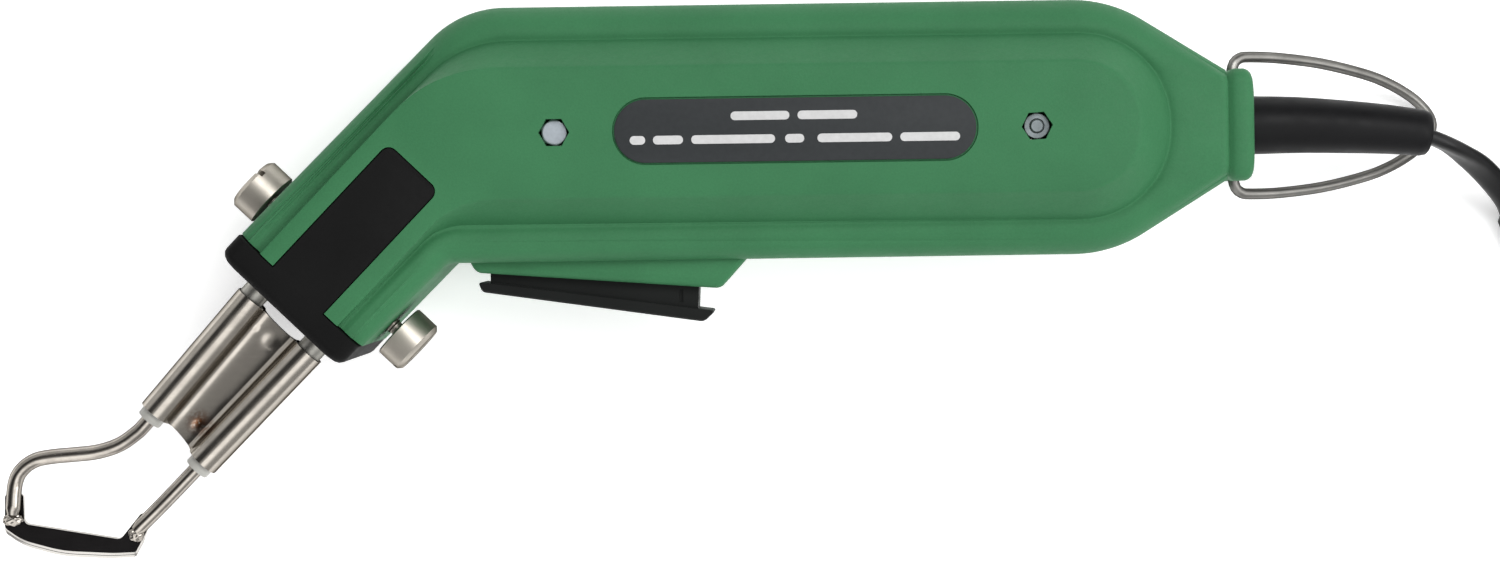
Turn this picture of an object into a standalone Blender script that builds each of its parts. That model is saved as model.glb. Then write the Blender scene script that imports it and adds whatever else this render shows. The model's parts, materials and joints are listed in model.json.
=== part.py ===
"""Electric hot knife for cutting foam and fabric: a trigger-switched hand tool that lies on its side.

+X points to the cord end, +Y to the tool's back and +Z to the side that faces up. The origin is the
middle of the flat on the lower shell that the tool lies on. Lengths are in millimetres, and at()
turns them into Blender's metres. Places in the bent neck are (s, t, z): s along the neck from the
body's centreline towards the blade, t across it towards the trigger side.
"""

import math

import bmesh
import bpy
from mathutils import Matrix, Vector

MM = 0.001
GAP = 0.3  # between pieces that touch

# Housing
MID = 25.0  # height of the parting plane: half of the housing's thickness
BODY_HALF = 28.6
RIM_HEIGHT = 16.0  # from the parting plane to the top of the rounded rim
RIM_WIDTH = 8.0
CREASE_HALF = 20.9  # where the raised field starts
FIELD_HALF = 14.25  # the flat on the raised field
WALL = 2.7
REAR_X = 86.8
REAR_HALF = 12.5
NECK_ORIGIN = (-87.4, -0.3)
NECK_ANGLE = math.radians(226)
NECK_HALF = 18.4
NECK_TIP = 18.1  # the neck is a little narrower at its end
NECK_CREASE = 12.6
NECK_FIELD = 11.6
NECK_END = 46.5
COLLAR = (84.0, 92.8, 12.6)  # from, to, half of its width
ARC_STEPS = 5

# Nose
NOSE_END = 53.2
TONGUE_START = 9.7
TONGUE_HALF = 7.5
TONGUE_THICK = 2.8
PIN_T = 8.95
PIN_RADIUS = 3.1
ROD_RADIUS = 1.7
CLAMP_S = {"upper": 38.95, "lower": 40.75}  # the screws aren't quite opposite each other
CLAMP_HEAD = (6.6, 6.6)  # radius, height
CLAMP_SHANK_RADIUS = 2.0
CLAMP_SHANK = 8.0
CLAMP_SEAT = {"upper": 20.4, "lower": 20.5}  # distance of the head's underside from the neck's axis

# Trigger
TRIGGER_PIVOT = (-76.5, -26.5)
TRIGGER_WEB_HALF = 7.0
TRIGGER_PLATE_HALF = 8.6
BOSS_HALF = 11.2
BOSS = [(-87.0, -22.5), (-84.0, -27.6), (-82.9, -29.5), (-81.7, -30.6), (-80.3, -31.0),
        (-32.3, -34.7), (-28.2, -35.0), (-26.6, -34.3), (-21.6, -28.8), (-17.5, -22.5)]

# Fasteners, wire bail, cord
BOLT_X = (-63.2, 43.0)
BOLT_RADIUS = 1.5
HEX_FLATS = 5.5
BAIL_PIVOT_X = 89.2
BAIL_RADIUS = 1.25
BAIL_HALF = 15.6
BAIL_LENGTH = 55.4
BAIL_DROP = math.asin((MID - BAIL_RADIUS) / BAIL_LENGTH)
CORD_WIDTH = 6.0
CORD_THICK = 3.8
CORD_LIFT = 1.0  # the coil lies this far up, on its tie
COIL_CENTRE = (204.0, -14.0)
COIL_OUTER = 42.5  # middle of the outermost turn
COIL_INNER = 25.7
PLUG_REAR = (197.0, 49.0)
PLUG_LENGTH = 37.0
PLUG_HALF = (17.65, 6.85)
PLUG_PIN = (2.0, 19.0, 9.3)  # radius, length, distance from the plug's middle

COLOURS = {
    "green_plastic": ((0.042, 0.205, 0.085), 0.5, 0.0),
    "black_plastic": ((0.012, 0.012, 0.013), 0.45, 0.0),
    "black_rubber": ((0.014, 0.014, 0.015), 0.6, 0.0),
    "nickel": ((0.56, 0.54, 0.50), 0.25, 1.0),
    "zinc": ((0.50, 0.53, 0.56), 0.35, 1.0),
    "steel": ((0.42, 0.41, 0.38), 0.3, 1.0),
    "dark_steel": ((0.16, 0.15, 0.14), 0.4, 1.0),
    "brass": ((0.72, 0.53, 0.22), 0.35, 1.0),
    "copper": ((0.80, 0.38, 0.22), 0.3, 1.0),
    "sleeve": ((0.78, 0.78, 0.74), 0.7, 0.0),
    "label": ((0.055, 0.06, 0.065), 0.5, 0.0),
    "varnish": ((0.35, 0.12, 0.05), 0.4, 0.0),
    "white_plastic": ((0.75, 0.75, 0.72), 0.5, 0.0),
    "brown_wire": ((0.16, 0.07, 0.03), 0.5, 0.0),
    "blue_wire": ((0.02, 0.08, 0.35), 0.5, 0.0),
}


# ---------------------------------------------------------------- basics

def at(x, y, z):
    return Vector((x, y, z)) * MM


def in_neck(s, t, z=MID):
    """A place in the neck, in the part's own frame and in millimetres."""
    c, n = math.cos(NECK_ANGLE), math.sin(NECK_ANGLE)
    return (NECK_ORIGIN[0] + s * c - t * n, NECK_ORIGIN[1] + s * n + t * c, z)


def neck_frame():
    place = Matrix.Translation(at(*NECK_ORIGIN, 0.0))
    return place @ Matrix.Rotation(NECK_ANGLE, 4, "Z")


def clear_scene():
    for thing in list(bpy.data.objects):
        bpy.data.objects.remove(thing, do_unlink=True)
    for collection in list(bpy.data.collections):
        bpy.data.collections.remove(collection)


def new_collection(name):
    collection = bpy.data.collections.new(name)
    bpy.context.scene.collection.children.link(collection)
    return collection


def material(name):
    found = bpy.data.materials.get(name)
    if found:
        return found
    made = bpy.data.materials.new(name)
    made.use_nodes = True
    colour, roughness, metallic = COLOURS[name]
    shader = made.node_tree.nodes["Principled BSDF"]
    shader.inputs["Base Color"].default_value = (*colour, 1.0)
    shader.inputs["Roughness"].default_value = roughness
    shader.inputs["Metallic"].default_value = metallic
    return made


def add(name, data, finish):
    """An object of the model, or a hidden tool where finish is None."""
    made = bpy.data.objects.new(name, data)
    if finish is None:
        TOOLS.objects.link(made)
        made.hide_render = True
        made.display_type = "WIRE"
    else:
        MODEL.objects.link(made)
        data.materials.append(material(finish))
    return made


def face_outwards(bm):
    bmesh.ops.recalc_face_normals(bm, faces=bm.faces)
    if bm.calc_volume(signed=True) < 0:
        bmesh.ops.reverse_faces(bm, faces=bm.faces)


def mesh_of(bm, name, frame=None):
    face_outwards(bm)
    if frame is not None:
        bm.transform(frame)
    mesh = bpy.data.meshes.new(name)
    bm.to_mesh(mesh)
    bm.free()
    mesh.shade_smooth()
    mesh.set_sharp_from_angle(angle=math.radians(35))
    return mesh


def pivot_on(piece, x, y, z):
    """Moves an object's origin to a point without moving its mesh."""
    piece.data.transform(Matrix.Translation(-at(x, y, z)))
    piece.location = at(x, y, z)


def mounted_on(name, place, pieces):
    """Parents a group that moves together to an empty on its joint's axis."""
    empty = bpy.data.objects.new(name, None)
    MODEL.objects.link(empty)
    empty.location = at(*place)
    for piece in pieces:
        piece.parent = empty
        piece.matrix_parent_inverse = Matrix.Translation(-at(*place))


def boolean(target, tool, operation="DIFFERENCE"):
    step = target.modifiers.new(tool.name, "BOOLEAN")
    step.operation = operation
    step.object = tool


def bevel(piece, width, segments=2, limit=40):
    step = piece.modifiers.new("edges", "BEVEL")
    step.width = width * MM
    step.segments = segments
    step.limit_method = "ANGLE"
    step.angle_limit = math.radians(limit)


# ---------------------------------------------------------------- shapes

def box(name, low, high, finish=None, frame=None):
    bm = bmesh.new()
    bmesh.ops.create_cube(bm, size=1.0)
    low, high = at(*low), at(*high)
    bm.transform(Matrix.Translation((low + high) / 2) @ Matrix.Diagonal((*(high - low), 1.0)))
    return add(name, mesh_of(bm, name, frame), finish)


def cylinder(name, start, end, radius, finish=None, sides=20, turn=0.0):
    start, end = at(*start), at(*end)
    bm = bmesh.new()
    bmesh.ops.create_cone(bm, cap_ends=True, segments=sides, radius1=radius * MM,
                          radius2=radius * MM, depth=(end - start).length)
    facing = (end - start).to_track_quat("Z", "Y").to_matrix().to_4x4()
    bm.transform(Matrix.Translation((start + end) / 2) @ facing @ Matrix.Rotation(turn, 4, "Z"))
    return add(name, mesh_of(bm, name), finish)


def hexagon(name, start, end, flats, finish=None, turn=0.0):
    return cylinder(name, start, end, flats / 2 / math.cos(math.pi / 6), finish, 6, turn)


def loft(name, rings, finish=None):
    bm = bmesh.new()
    loops = [[bm.verts.new(at(*point)) for point in ring] for ring in rings]
    for low, high in zip(loops, loops[1:]):
        for i in range(len(low)):
            j = (i + 1) % len(low)
            bm.faces.new((low[i], low[j], high[j], high[i]))
    bm.faces.new(loops[0])
    bm.faces.new(loops[-1])
    return add(name, mesh_of(bm, name), finish)


def turned(name, profile, start, towards, finish=None, steps=24):
    """A turned piece: profile is (radius, height) from the axis at the top down the outside."""
    mesh = bpy.data.meshes.new(name)
    edges = [(i, i + 1) for i in range(len(profile) - 1)]
    mesh.from_pydata([(r * MM, 0.0, h * MM) for r, h in profile], edges, [])
    piece = add(name, mesh, finish)
    screw = piece.modifiers.new("turn", "SCREW")
    screw.steps = screw.render_steps = steps
    screw.use_merge_vertices = True
    screw.merge_threshold = 0.00001
    piece.location = at(*start)
    piece.rotation_mode = "QUATERNION"
    piece.rotation_quaternion = (at(*towards) - at(*start)).to_track_quat("Z", "Y")
    return piece


def wire(name, points, radius, finish=None, rounds=2):
    """A round wire through the points. radius is a number, or one for each point."""
    curve = bpy.data.curves.new(name, "CURVE")
    curve.dimensions = "3D"
    curve.bevel_depth = MM
    curve.bevel_resolution = rounds
    curve.use_fill_caps = True
    spline = curve.splines.new("POLY")
    spline.points.add(len(points) - 1)
    radii = radius if isinstance(radius, list) else [radius] * len(points)
    for place, point, width in zip(spline.points, points, radii):
        place.co = (*at(*point), 1.0)
        place.radius = width
    return add(name, curve, finish)


def smooth_line(points, spacing):
    """Points about spacing apart on a smooth curve through the given ones."""
    line = [Vector(p) for p in points]
    ends = [2 * line[0] - line[1], *line, 2 * line[-1] - line[-2]]
    made = []
    for a, b, c, d in zip(ends, ends[1:], ends[2:], ends[3:]):
        count = max(1, round((c - b).length / spacing))
        for k in range(count):
            u = k / count
            made.append(0.5 * (2 * b + (c - a) * u + (2 * a - 5 * b + 4 * c - d) * u * u
                               + (3 * b - a - 3 * c + d) * u ** 3))
    return [tuple(p) for p in made] + [tuple(line[-1])]


def inset(corners, distances):
    """Moves each edge of a counter-clockwise outline inwards; edge i runs from corner i to the next."""
    count = len(corners)
    lines = []
    for i in range(count):
        a, b = Vector(corners[i][:2]), Vector(corners[(i + 1) % count][:2])
        along = (b - a).normalized()
        lines.append((a + Vector((-along.y, along.x)) * distances[i], along))
    made = []
    for i in range(count):
        (p, u), (q, w) = lines[i - 1], lines[i]
        cross = u.x * w.y - u.y * w.x
        k = ((q - p).x * w.y - (q - p).y * w.x) / cross
        side = 1 if cross > 0 else -1
        less = min(distances[i - 1], distances[i])
        made.append((*(p + u * k), max(0.4, corners[i][2] - side * less)))
    return made


def rounded(corners, z, steps=ARC_STEPS):
    """A ring of points: each corner (x, y, radius) becomes an arc."""
    ring = []
    for i, (x, y, radius) in enumerate(corners):
        corner = Vector((x, y))
        before = (Vector(corners[i - 1][:2]) - corner).normalized()
        after = (Vector(corners[(i + 1) % len(corners)][:2]) - corner).normalized()
        half = before.angle(after) / 2
        middle = (before + after).normalized() * radius / math.sin(half) + corner
        start = corner + before * radius / math.tan(half) - middle
        turn = start.angle_signed(corner + after * radius / math.tan(half) - middle)
        for k in range(steps + 1):
            spoke = start.copy()
            spoke.rotate(Matrix.Rotation(-turn * k / steps, 2))
            ring.append((*(middle + spoke), z))
    return ring


# ---------------------------------------------------------------- housing

def bend(y, t, radius):
    """The corner where the line at height y meets the neck's line at t."""
    c, n = math.cos(NECK_ANGLE), math.sin(NECK_ANGLE)
    s = (y - NECK_ORIGIN[1] - t * c) / n
    return (*in_neck(s, t)[:2], radius)


def rim_outline():
    return [
        (REAR_X, REAR_HALF, 2.0),
        (60.5, BODY_HALF, 30.0),
        bend(BODY_HALF, -NECK_HALF, 23.0),
        (*in_neck(NECK_END, -NECK_TIP)[:2], 0.6),
        (*in_neck(NECK_END, NECK_TIP)[:2], 0.6),
        bend(-BODY_HALF, NECK_HALF + 0.8, 3.0),
        (60.5, -BODY_HALF, 30.0),
        (REAR_X, -REAR_HALF, 2.0),
    ]


def raised_outline(half, neck_half, end, end_radius, neck_end, bends):
    return [
        (end, half, end_radius),
        bend(half, -neck_half, bends[0]),
        (*in_neck(neck_end, -neck_half)[:2], 0.5),
        (*in_neck(neck_end, neck_half)[:2], 0.5),
        bend(-half, neck_half, bends[1]),
        (end, -half, end_radius),
    ]


def rim_solid(name, side, wall, beyond, finish=None):
    """The housing up to the rim's top; side is 1 for the upper shell and -1 for the lower one."""
    outline = rim_outline()

    def ring(depth, height):
        depths = [depth + wall] * 8
        depths[3] = -beyond
        depths[7] = 0.15 * depth + wall
        return rounded(inset(outline, depths), MID + side * height)

    top = RIM_HEIGHT - wall
    rings = [ring(0.0, -0.5 if wall else 0.075), ring(0.2, top / 2)]
    for k in range(1, 5):
        angle = math.pi / 2 * k / 4
        rings.append(ring(0.2 + (RIM_WIDTH - 0.2) * (1 - math.cos(angle)),
                          top / 2 + top / 2 * math.sin(angle)))
    return loft(name, rings, finish)


def raised_solid(name, side, wall, beyond):
    def ring(half, neck_half, end, radius, bends, height):
        outline = raised_outline(half - wall, neck_half - wall * 0.4, end - wall, radius - wall,
                                 NECK_END + beyond, bends)
        return rounded(outline, MID + side * height)

    low = ring(CREASE_HALF, NECK_CREASE, 73.4, 20.2, (25.0, 12.0), 10.0)
    crease = ring(CREASE_HALF, NECK_CREASE, 73.4, 20.2, (25.0, 12.0), RIM_HEIGHT - 0.6 - wall)
    top = ring(FIELD_HALF, NECK_FIELD, 65.9, 13.9, (30.0, 20.0), MID - wall)
    return loft(name, [low, crease, top])


def neck_rise(name, side, wall, beyond):
    """The sides of the neck, which grow taller and squarer from the body towards the nose."""
    rings = []
    for s, half, top, radius in ((2.0, 17.6, 15.0, 5.0), (12.0, 18.2, 18.0, 4.6),
                                 (NECK_END + beyond, NECK_TIP - 0.15, 23.6, 3.0)):
        half, top = half - wall, top - wall
        ring = [in_neck(s, -half, MID + side * 2.0), in_neck(s, half, MID + side * 2.0)]
        for way, angles in ((1, (0, 30, 60, 90)), (-1, (90, 60, 30, 0))):
            for angle in angles:
                c, n = math.cos(math.radians(angle)), math.sin(math.radians(angle))
                ring.append(in_neck(s, way * (half - radius * (1 - c)),
                                    MID + side * (top - radius * (1 - n))))
        rings.append(ring)
    return loft(name, rings)


def housing_shell(name, side):
    """One half of the housing, with its bosses, slots and bores."""
    def z(height):
        return MID + side * height

    def tool(part):
        return f"{name}_{part}"

    shell = rim_solid(name, side, 0.0, 0.0, "green_plastic")
    boolean(shell, raised_solid(tool("field"), side, 0.0, 0.0), "UNION")
    boolean(shell, neck_rise(tool("neck"), side, 0.0, -0.04), "UNION")
    boolean(shell, loft(tool("boss"), [[(x, y, z(h)) for x, y in BOSS]
                                       for h in (0.075, BOSS_HALF)]), "UNION")
    start, end, half = COLLAR
    collar = box(tool("collar"), (start, -half, min(z(0.075), z(12.6))),
                 (end, half, max(z(0.075), z(12.6))))
    bevel(collar, 1.8)
    boolean(shell, collar, "UNION")
    boolean(shell, rim_solid(tool("cavity"), side, WALL, 4.0))
    boolean(shell, raised_solid(tool("field_cavity"), side, WALL, 4.0))
    boolean(shell, neck_rise(tool("neck_cavity"), side, WALL, 5.0))

    for x in BOLT_X:
        post = cylinder(tool(f"post_{x:.0f}"), (x, 0, z(0.2)), (x, 0, z(MID - 1)), 4.4)
        boolean(shell, post, "UNION")
    low_rib = sorted((z(12 + GAP), z(MID - 1)))
    for x in (-44.5, 32.5):
        rib = box(tool(f"core_rib_{x:.0f}"), (x - 1, -5.5, low_rib[0]), (x + 1, 5.5, low_rib[1]))
        boolean(shell, rib, "UNION")
    boss_fill = loft(tool("boss_fill"), [[(x, y + 0.5, z(h)) for x, y in BOSS]
                                         for h in (TRIGGER_WEB_HALF + 0.3, BOSS_HALF - 0.5)])
    boolean(shell, boss_fill, "UNION")
    seat = sorted((z(0.2), z(14.0)))
    boolean(shell, box(tool("spring_seat"), (-44, -23.2, seat[0]), (-36, -21.4, seat[1])), "UNION")

    slot = sorted((z(-1.0), z(TRIGGER_WEB_HALF + 0.3)))
    boolean(shell, box(tool("trigger_slot"), (-80.2, -40, slot[0]), (-31.2, -23.6, slot[1])))
    boolean(shell, cylinder(tool("pivot_hole"), (*TRIGGER_PIVOT, z(0)),
                            (*TRIGGER_PIVOT, z(10.5)), 1.55, sides=16))
    tongue = sorted((z(MID - TONGUE_THICK - GAP), z(MID + 1)))
    boolean(shell, box(tool("tongue_slot"), (TONGUE_START - GAP, -TONGUE_HALF - GAP, tongue[0]),
                       (NECK_END + 2, TONGUE_HALF + GAP, tongue[1]), frame=neck_frame()))
    for where, way in (("upper", -1), ("lower", 1)):
        s = CLAMP_S[where]
        boolean(shell, cylinder(tool(f"clamp_hole_{where}"), in_neck(s, way * 10), in_neck(s, way * 24),
                                2.6, sides=16))
    boolean(shell, cylinder(tool("bail_hole"), (BAIL_PIVOT_X, -16, MID),
                            (BAIL_PIVOT_X, 16, MID), BAIL_RADIUS + GAP, sides=16))
    boolean(shell, cylinder(tool("cord_bore"), (80, 0, MID), (96, 0, MID), 6.9, sides=24))
    boolean(shell, cylinder(tool("flange_pocket"), (80, 0, MID), (91.0, 0, MID), 8.6, sides=24))
    for x in BOLT_X:
        boolean(shell, cylinder(tool(f"bore_{x:.0f}"), (x, 0, z(-1)), (x, 0, z(MID + 1)),
                                BOLT_RADIUS + GAP, sides=16))
        boolean(shell, hexagon(tool(f"hex_{x:.0f}"), (x, 0, z(MID - 4.2)), (x, 0, z(MID + 1)),
                               HEX_FLATS + 2 * GAP))
    return shell


def housing_fasteners():
    """Two hexagon bolts and nuts; the front bolt's head is on the upper side, the rear one's below."""
    for where, x, side in (("front", BOLT_X[0], 1), ("rear", BOLT_X[1], -1)):
        seat = MID - 4.2 + GAP
        head = MID + side * seat
        tip = MID - side * (seat + 2.9)
        bolt = hexagon(f"{where}_bolt", (x, 0, head), (x, 0, head + side * 2.0), HEX_FLATS, "zinc")
        shank = cylinder(f"{where}_shank", (x, 0, head + side), (x, 0, tip), BOLT_RADIUS, sides=14)
        boolean(bolt, shank, "UNION")
        low = MID - side * seat
        nut = hexagon(f"{where}_nut", (x, 0, low), (x, 0, low - side * 2.4), HEX_FLATS, "zinc")
        boolean(nut, cylinder(f"{where}_nut_bore", (x, 0, low + side), (x, 0, low - side * 4),
                              BOLT_RADIUS + GAP, sides=14))


def label():
    half = 6.95
    start, end = -49.9, 29.6
    ring = [(start, half, half - 0.1), (start, -half, half - 0.1),
            (end, -half, half - 0.1), (end, half, half - 0.1)]
    plate = loft("label_plate", [rounded(ring, 2 * MID - 0.25), rounded(ring, 2 * MID + 0.25)],
                 "label")
    recess = [(start - 0.5, half + 0.5, half), (start - 0.5, -half - 0.5, half),
              (end + 0.5, -half - 0.5, half), (end + 0.5, half + 0.5, half)]
    boolean(bpy.data.objects["upper_shell"],
            loft("label_recess", [rounded(recess, 2 * MID - 0.55), rounded(recess, 2 * MID + 1)]))
    return plate


# ---------------------------------------------------------------- nose and blade

def nose_insulator():
    frame = neck_frame()
    start = NECK_END + GAP
    nose = box("nose_insulator", (start, -NECK_TIP, 0.0), (NOSE_END, NECK_TIP, 2 * MID),
               "black_plastic", frame)
    bevel(nose, 2.6)
    for low in (0.0, 2 * MID - TONGUE_THICK):
        tongue = box(f"tongue_{low:.0f}", (TONGUE_START, -TONGUE_HALF, low),
                     (NOSE_END - 3, TONGUE_HALF, low + TONGUE_THICK), frame=frame)
        boolean(nose, tongue, "UNION")
    wall = box("terminal_wall", (28, -2.4, MID - 12), (NOSE_END - 3, 2.4, MID + 12), frame=frame)
    boolean(nose, wall, "UNION")
    plug = box("nose_plug", (NECK_END - 1.2, -14, MID - 9.8), (NOSE_END - 3, 14, MID + 9.8),
               frame=frame)
    boolean(nose, plug, "UNION")
    for t in (-PIN_T, PIN_T):
        boolean(nose, cylinder(f"nose_bore_{t:.0f}", in_neck(40, t), in_neck(60, t),
                               PIN_RADIUS + GAP, sides=18))


def terminals():
    for where, side in (("upper", -1), ("lower", 1)):
        t = side * PIN_T
        block = box(f"terminal_block_{where}", (29.0, t - 5, MID - 5.5), (45.0, t + 5, MID + 5.5),
                    "brass", neck_frame())
        bevel(block, 0.5, 1)
        boolean(block, cylinder(f"{where}_socket", in_neck(31.5, t), in_neck(50, t),
                                PIN_RADIUS + GAP, sides=18))
        s = CLAMP_S[where]
        boolean(block, cylinder(f"{where}_thread", in_neck(s, t), in_neck(s, t + 9 * side),
                                CLAMP_SHANK_RADIUS + GAP, sides=16))

        seat = CLAMP_SEAT[where]
        radius, height = CLAMP_HEAD
        start = in_neck(s, side * (seat - CLAMP_SHANK))
        profile = [(0, CLAMP_SHANK + height), (radius - 0.9, CLAMP_SHANK + height),
                   (radius, CLAMP_SHANK + height - 0.9), (radius, CLAMP_SHANK),
                   (CLAMP_SHANK_RADIUS, CLAMP_SHANK), (CLAMP_SHANK_RADIUS, 0), (0, 0)]
        screw = turned(f"clamp_screw_{where}", profile, start,
                       in_neck(s, side * seat), "nickel", 22)
        slot = box(f"{where}_slot", (s - 8, side * (seat + height) - 1.5, MID - 0.6),
                   (s + 8, side * (seat + height) + 1.5, MID + 0.6))
        turn = Matrix.Rotation(math.radians(62), 4, "Y")
        middle = Matrix.Translation(at(s, 0, MID))
        slot.data.transform(neck_frame() @ middle @ turn @ middle.inverted())
        boolean(screw, slot)


SLEEVE_END = {"upper": (-158.0, -63.5), "lower": (-147.4, -74.8)}


def channel_line(where):
    """Start and end of a holder channel's centre line, and the way from start to end."""
    side = -1 if where == "upper" else 1
    start = Vector(in_neck(NOSE_END + 1.6, side * PIN_T)[:2])
    end = Vector(SLEEVE_END[where])
    return start, end, (end - start).normalized()


def on_channel(where, distance, z=MID):
    start, _, along = channel_line(where)
    return (*(start + along * distance), z)


def blade_unit():
    """The plug-in blade: pins, insulated rods, clamped sheet holder and the welded blade."""
    pieces = []
    for where, side in (("upper", -1), ("lower", 1)):
        t = side * PIN_T
        length = (Vector(SLEEVE_END[where]) - channel_line(where)[0]).length
        pin = cylinder(f"contact_pin_{where}", in_neck(32, t), in_neck(NOSE_END + 6.6, t),
                       PIN_RADIUS, "dark_steel", 18)
        bevel(pin, 0.4, 1, 60)
        pieces.append(pin)
        tube = cylinder(f"insulating_sleeve_{where}", on_channel(where, 5.6),
                        on_channel(where, length), 2.95, "sleeve", 18)
        boolean(tube, cylinder(f"{where}_sleeve_bore", on_channel(where, 2), on_channel(where, 50),
                               ROD_RADIUS + GAP, sides=16))
        pieces.append(tube)
        end = on_channel(where, length)
        if where == "upper":
            route = [on_channel(where, 5.6), on_channel(where, 20), end,
                     (-161.4, -66.8, MID), (-165.2, -69.2, MID), (-170.0, -70.6, MID),
                     (-175.0, -71.1, MID), (-180.0, -71.5, MID), (-184.0, -72.3, MID),
                     (-187.0, -74.4, MID), (-188.6, -77.6, MID), (-189.3, -84.6, MID)]
        else:
            route = [on_channel(where, 5.6), on_channel(where, 20), end,
                     (-152.0, -79.5, MID), (-156.8, -84.3, MID), (-161.3, -88.6, MID)]
        pieces.append(wire(f"blade_rod_{where}", smooth_line(route, 2.6), ROD_RADIUS, "nickel", 2))

    for which, side in (("front", 1), ("back", -1)):
        bm = bmesh.new()
        rows = []
        for distance in (3.8, 38.4):
            row = []
            for where, way in (("upper", -1), ("lower", 1)):
                centre = Vector(on_channel(where, distance))
                across = Vector((-channel_line(where)[2].y, channel_line(where)[2].x, 0))
                for k in range(9):
                    angle = math.pi * (1 - k / 8)
                    out = across * math.cos(angle) * 3.95
                    row.append(centre + out + Vector((0, 0, side * (0.15 + 3.8 * math.sin(angle)))))
            rows.append([bm.verts.new(p * MM) for p in row])
        for a, b, c, d in zip(rows[0], rows[0][1:], rows[1][1:], rows[1]):
            bm.faces.new((a, b, c, d) if side > 0 else (d, c, b, a))
        mesh = bpy.data.meshes.new(f"holder_{which}")
        bm.to_mesh(mesh)
        bm.free()
        half = add(f"holder_{which}", mesh, "steel")
        skin = half.modifiers.new("sheet", "SOLIDIFY")
        skin.thickness = 0.5 * MM
        skin.offset = -1
        skin.use_even_offset = True
        pieces.append(half)

    outline = [(-191.6, -80.0, 0.8), (-191.8, -88.9, 1.6), (-187.4, -92.4, 6.0),
               (-178.5, -94.7, 14.0), (-168.0, -95.1, 14.0), (-161.9, -94.7, 1.2),
               (-160.0, -91.4, 1.2), (-158.4, -86.8, 0.6), (-160.4, -84.6, 0.6),
               (-165.2, -90.5, 1.5), (-187.0, -86.7, 1.2), (-187.2, -80.0, 0.8)]
    blade_z = MID - ROD_RADIUS - GAP
    pieces.append(loft("cutting_blade", [rounded(outline, blade_z - 0.9, 3),
                                         rounded(outline, blade_z, 3)], "dark_steel"))
    mounted_on("blade_unit", in_neck(NOSE_END, 0), pieces)


# ---------------------------------------------------------------- trigger and switch

def trigger_parts():
    half = TRIGGER_PLATE_HALF
    plate = [(-81.9, -33.0, 0.4), (-81.0, -35.3, 1.4), (-31.2, -42.6, 2.0), (-28.6, -40.2, 0.4)]
    piece = loft("trigger", [rounded(plate, MID - half, 3), rounded(plate, MID + half, 3)],
                 "black_plastic")
    web = [(-79.2, -28.4), (-79.2, -34.4), (-32.6, -41.0), (-32.2, -31.6)]
    half = TRIGGER_WEB_HALF
    boolean(piece, loft("web", [[(x, y, MID + h) for x, y in web] for h in (-half, half)]), "UNION")
    x, y = TRIGGER_PIVOT
    boolean(piece, box("trigger_lug", (x - 3.0, y - 4, MID - half), (x + 3, y + 1, MID + half)),
            "UNION")
    boolean(piece, cylinder("trigger_eye", (x, y, MID - half), (x, y, MID + half), 3.0, sides=18),
            "UNION")
    boolean(piece, cylinder("trigger_bore", (x, y, MID - 20), (x, y, MID + 20), 1.55, sides=16))
    pivot_on(piece, x, y, MID)
    cylinder("trigger_pin", (x, y, MID - 10.2), (x, y, MID + 10.2), 1.25, "zinc", 16)

    coil = []
    turns, points = 5, 9
    for i in range(turns * points + 1):
        angle = 2 * math.pi * i / points
        coil.append((-40 + 2.7 * math.cos(angle), -30.2 + 6.2 * i / (turns * points),
                     MID + 2.7 * math.sin(angle)))
    wire("trigger_spring", coil, 0.35, "steel", 1)

    body = box("switch_body", (-70.5, -27.2, MID - 3.2), (-50.7, -17.0, MID + 3.2), "black_plastic")
    bevel(body, 0.5, 1)
    boolean(body, box("plunger_bore", (-59.5, -28, MID - 1.8), (-56.5, -22.8, MID + 1.8)))
    plunger = box("switch_plunger", (-59.2, -29.2, MID - 1.5), (-56.8, -25.2, MID + 1.5),
                  "white_plastic")
    bevel(plunger, 0.3, 1)
    pivot_on(plunger, -58, -29.2, MID)


# ---------------------------------------------------------------- transformer and leads

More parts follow.
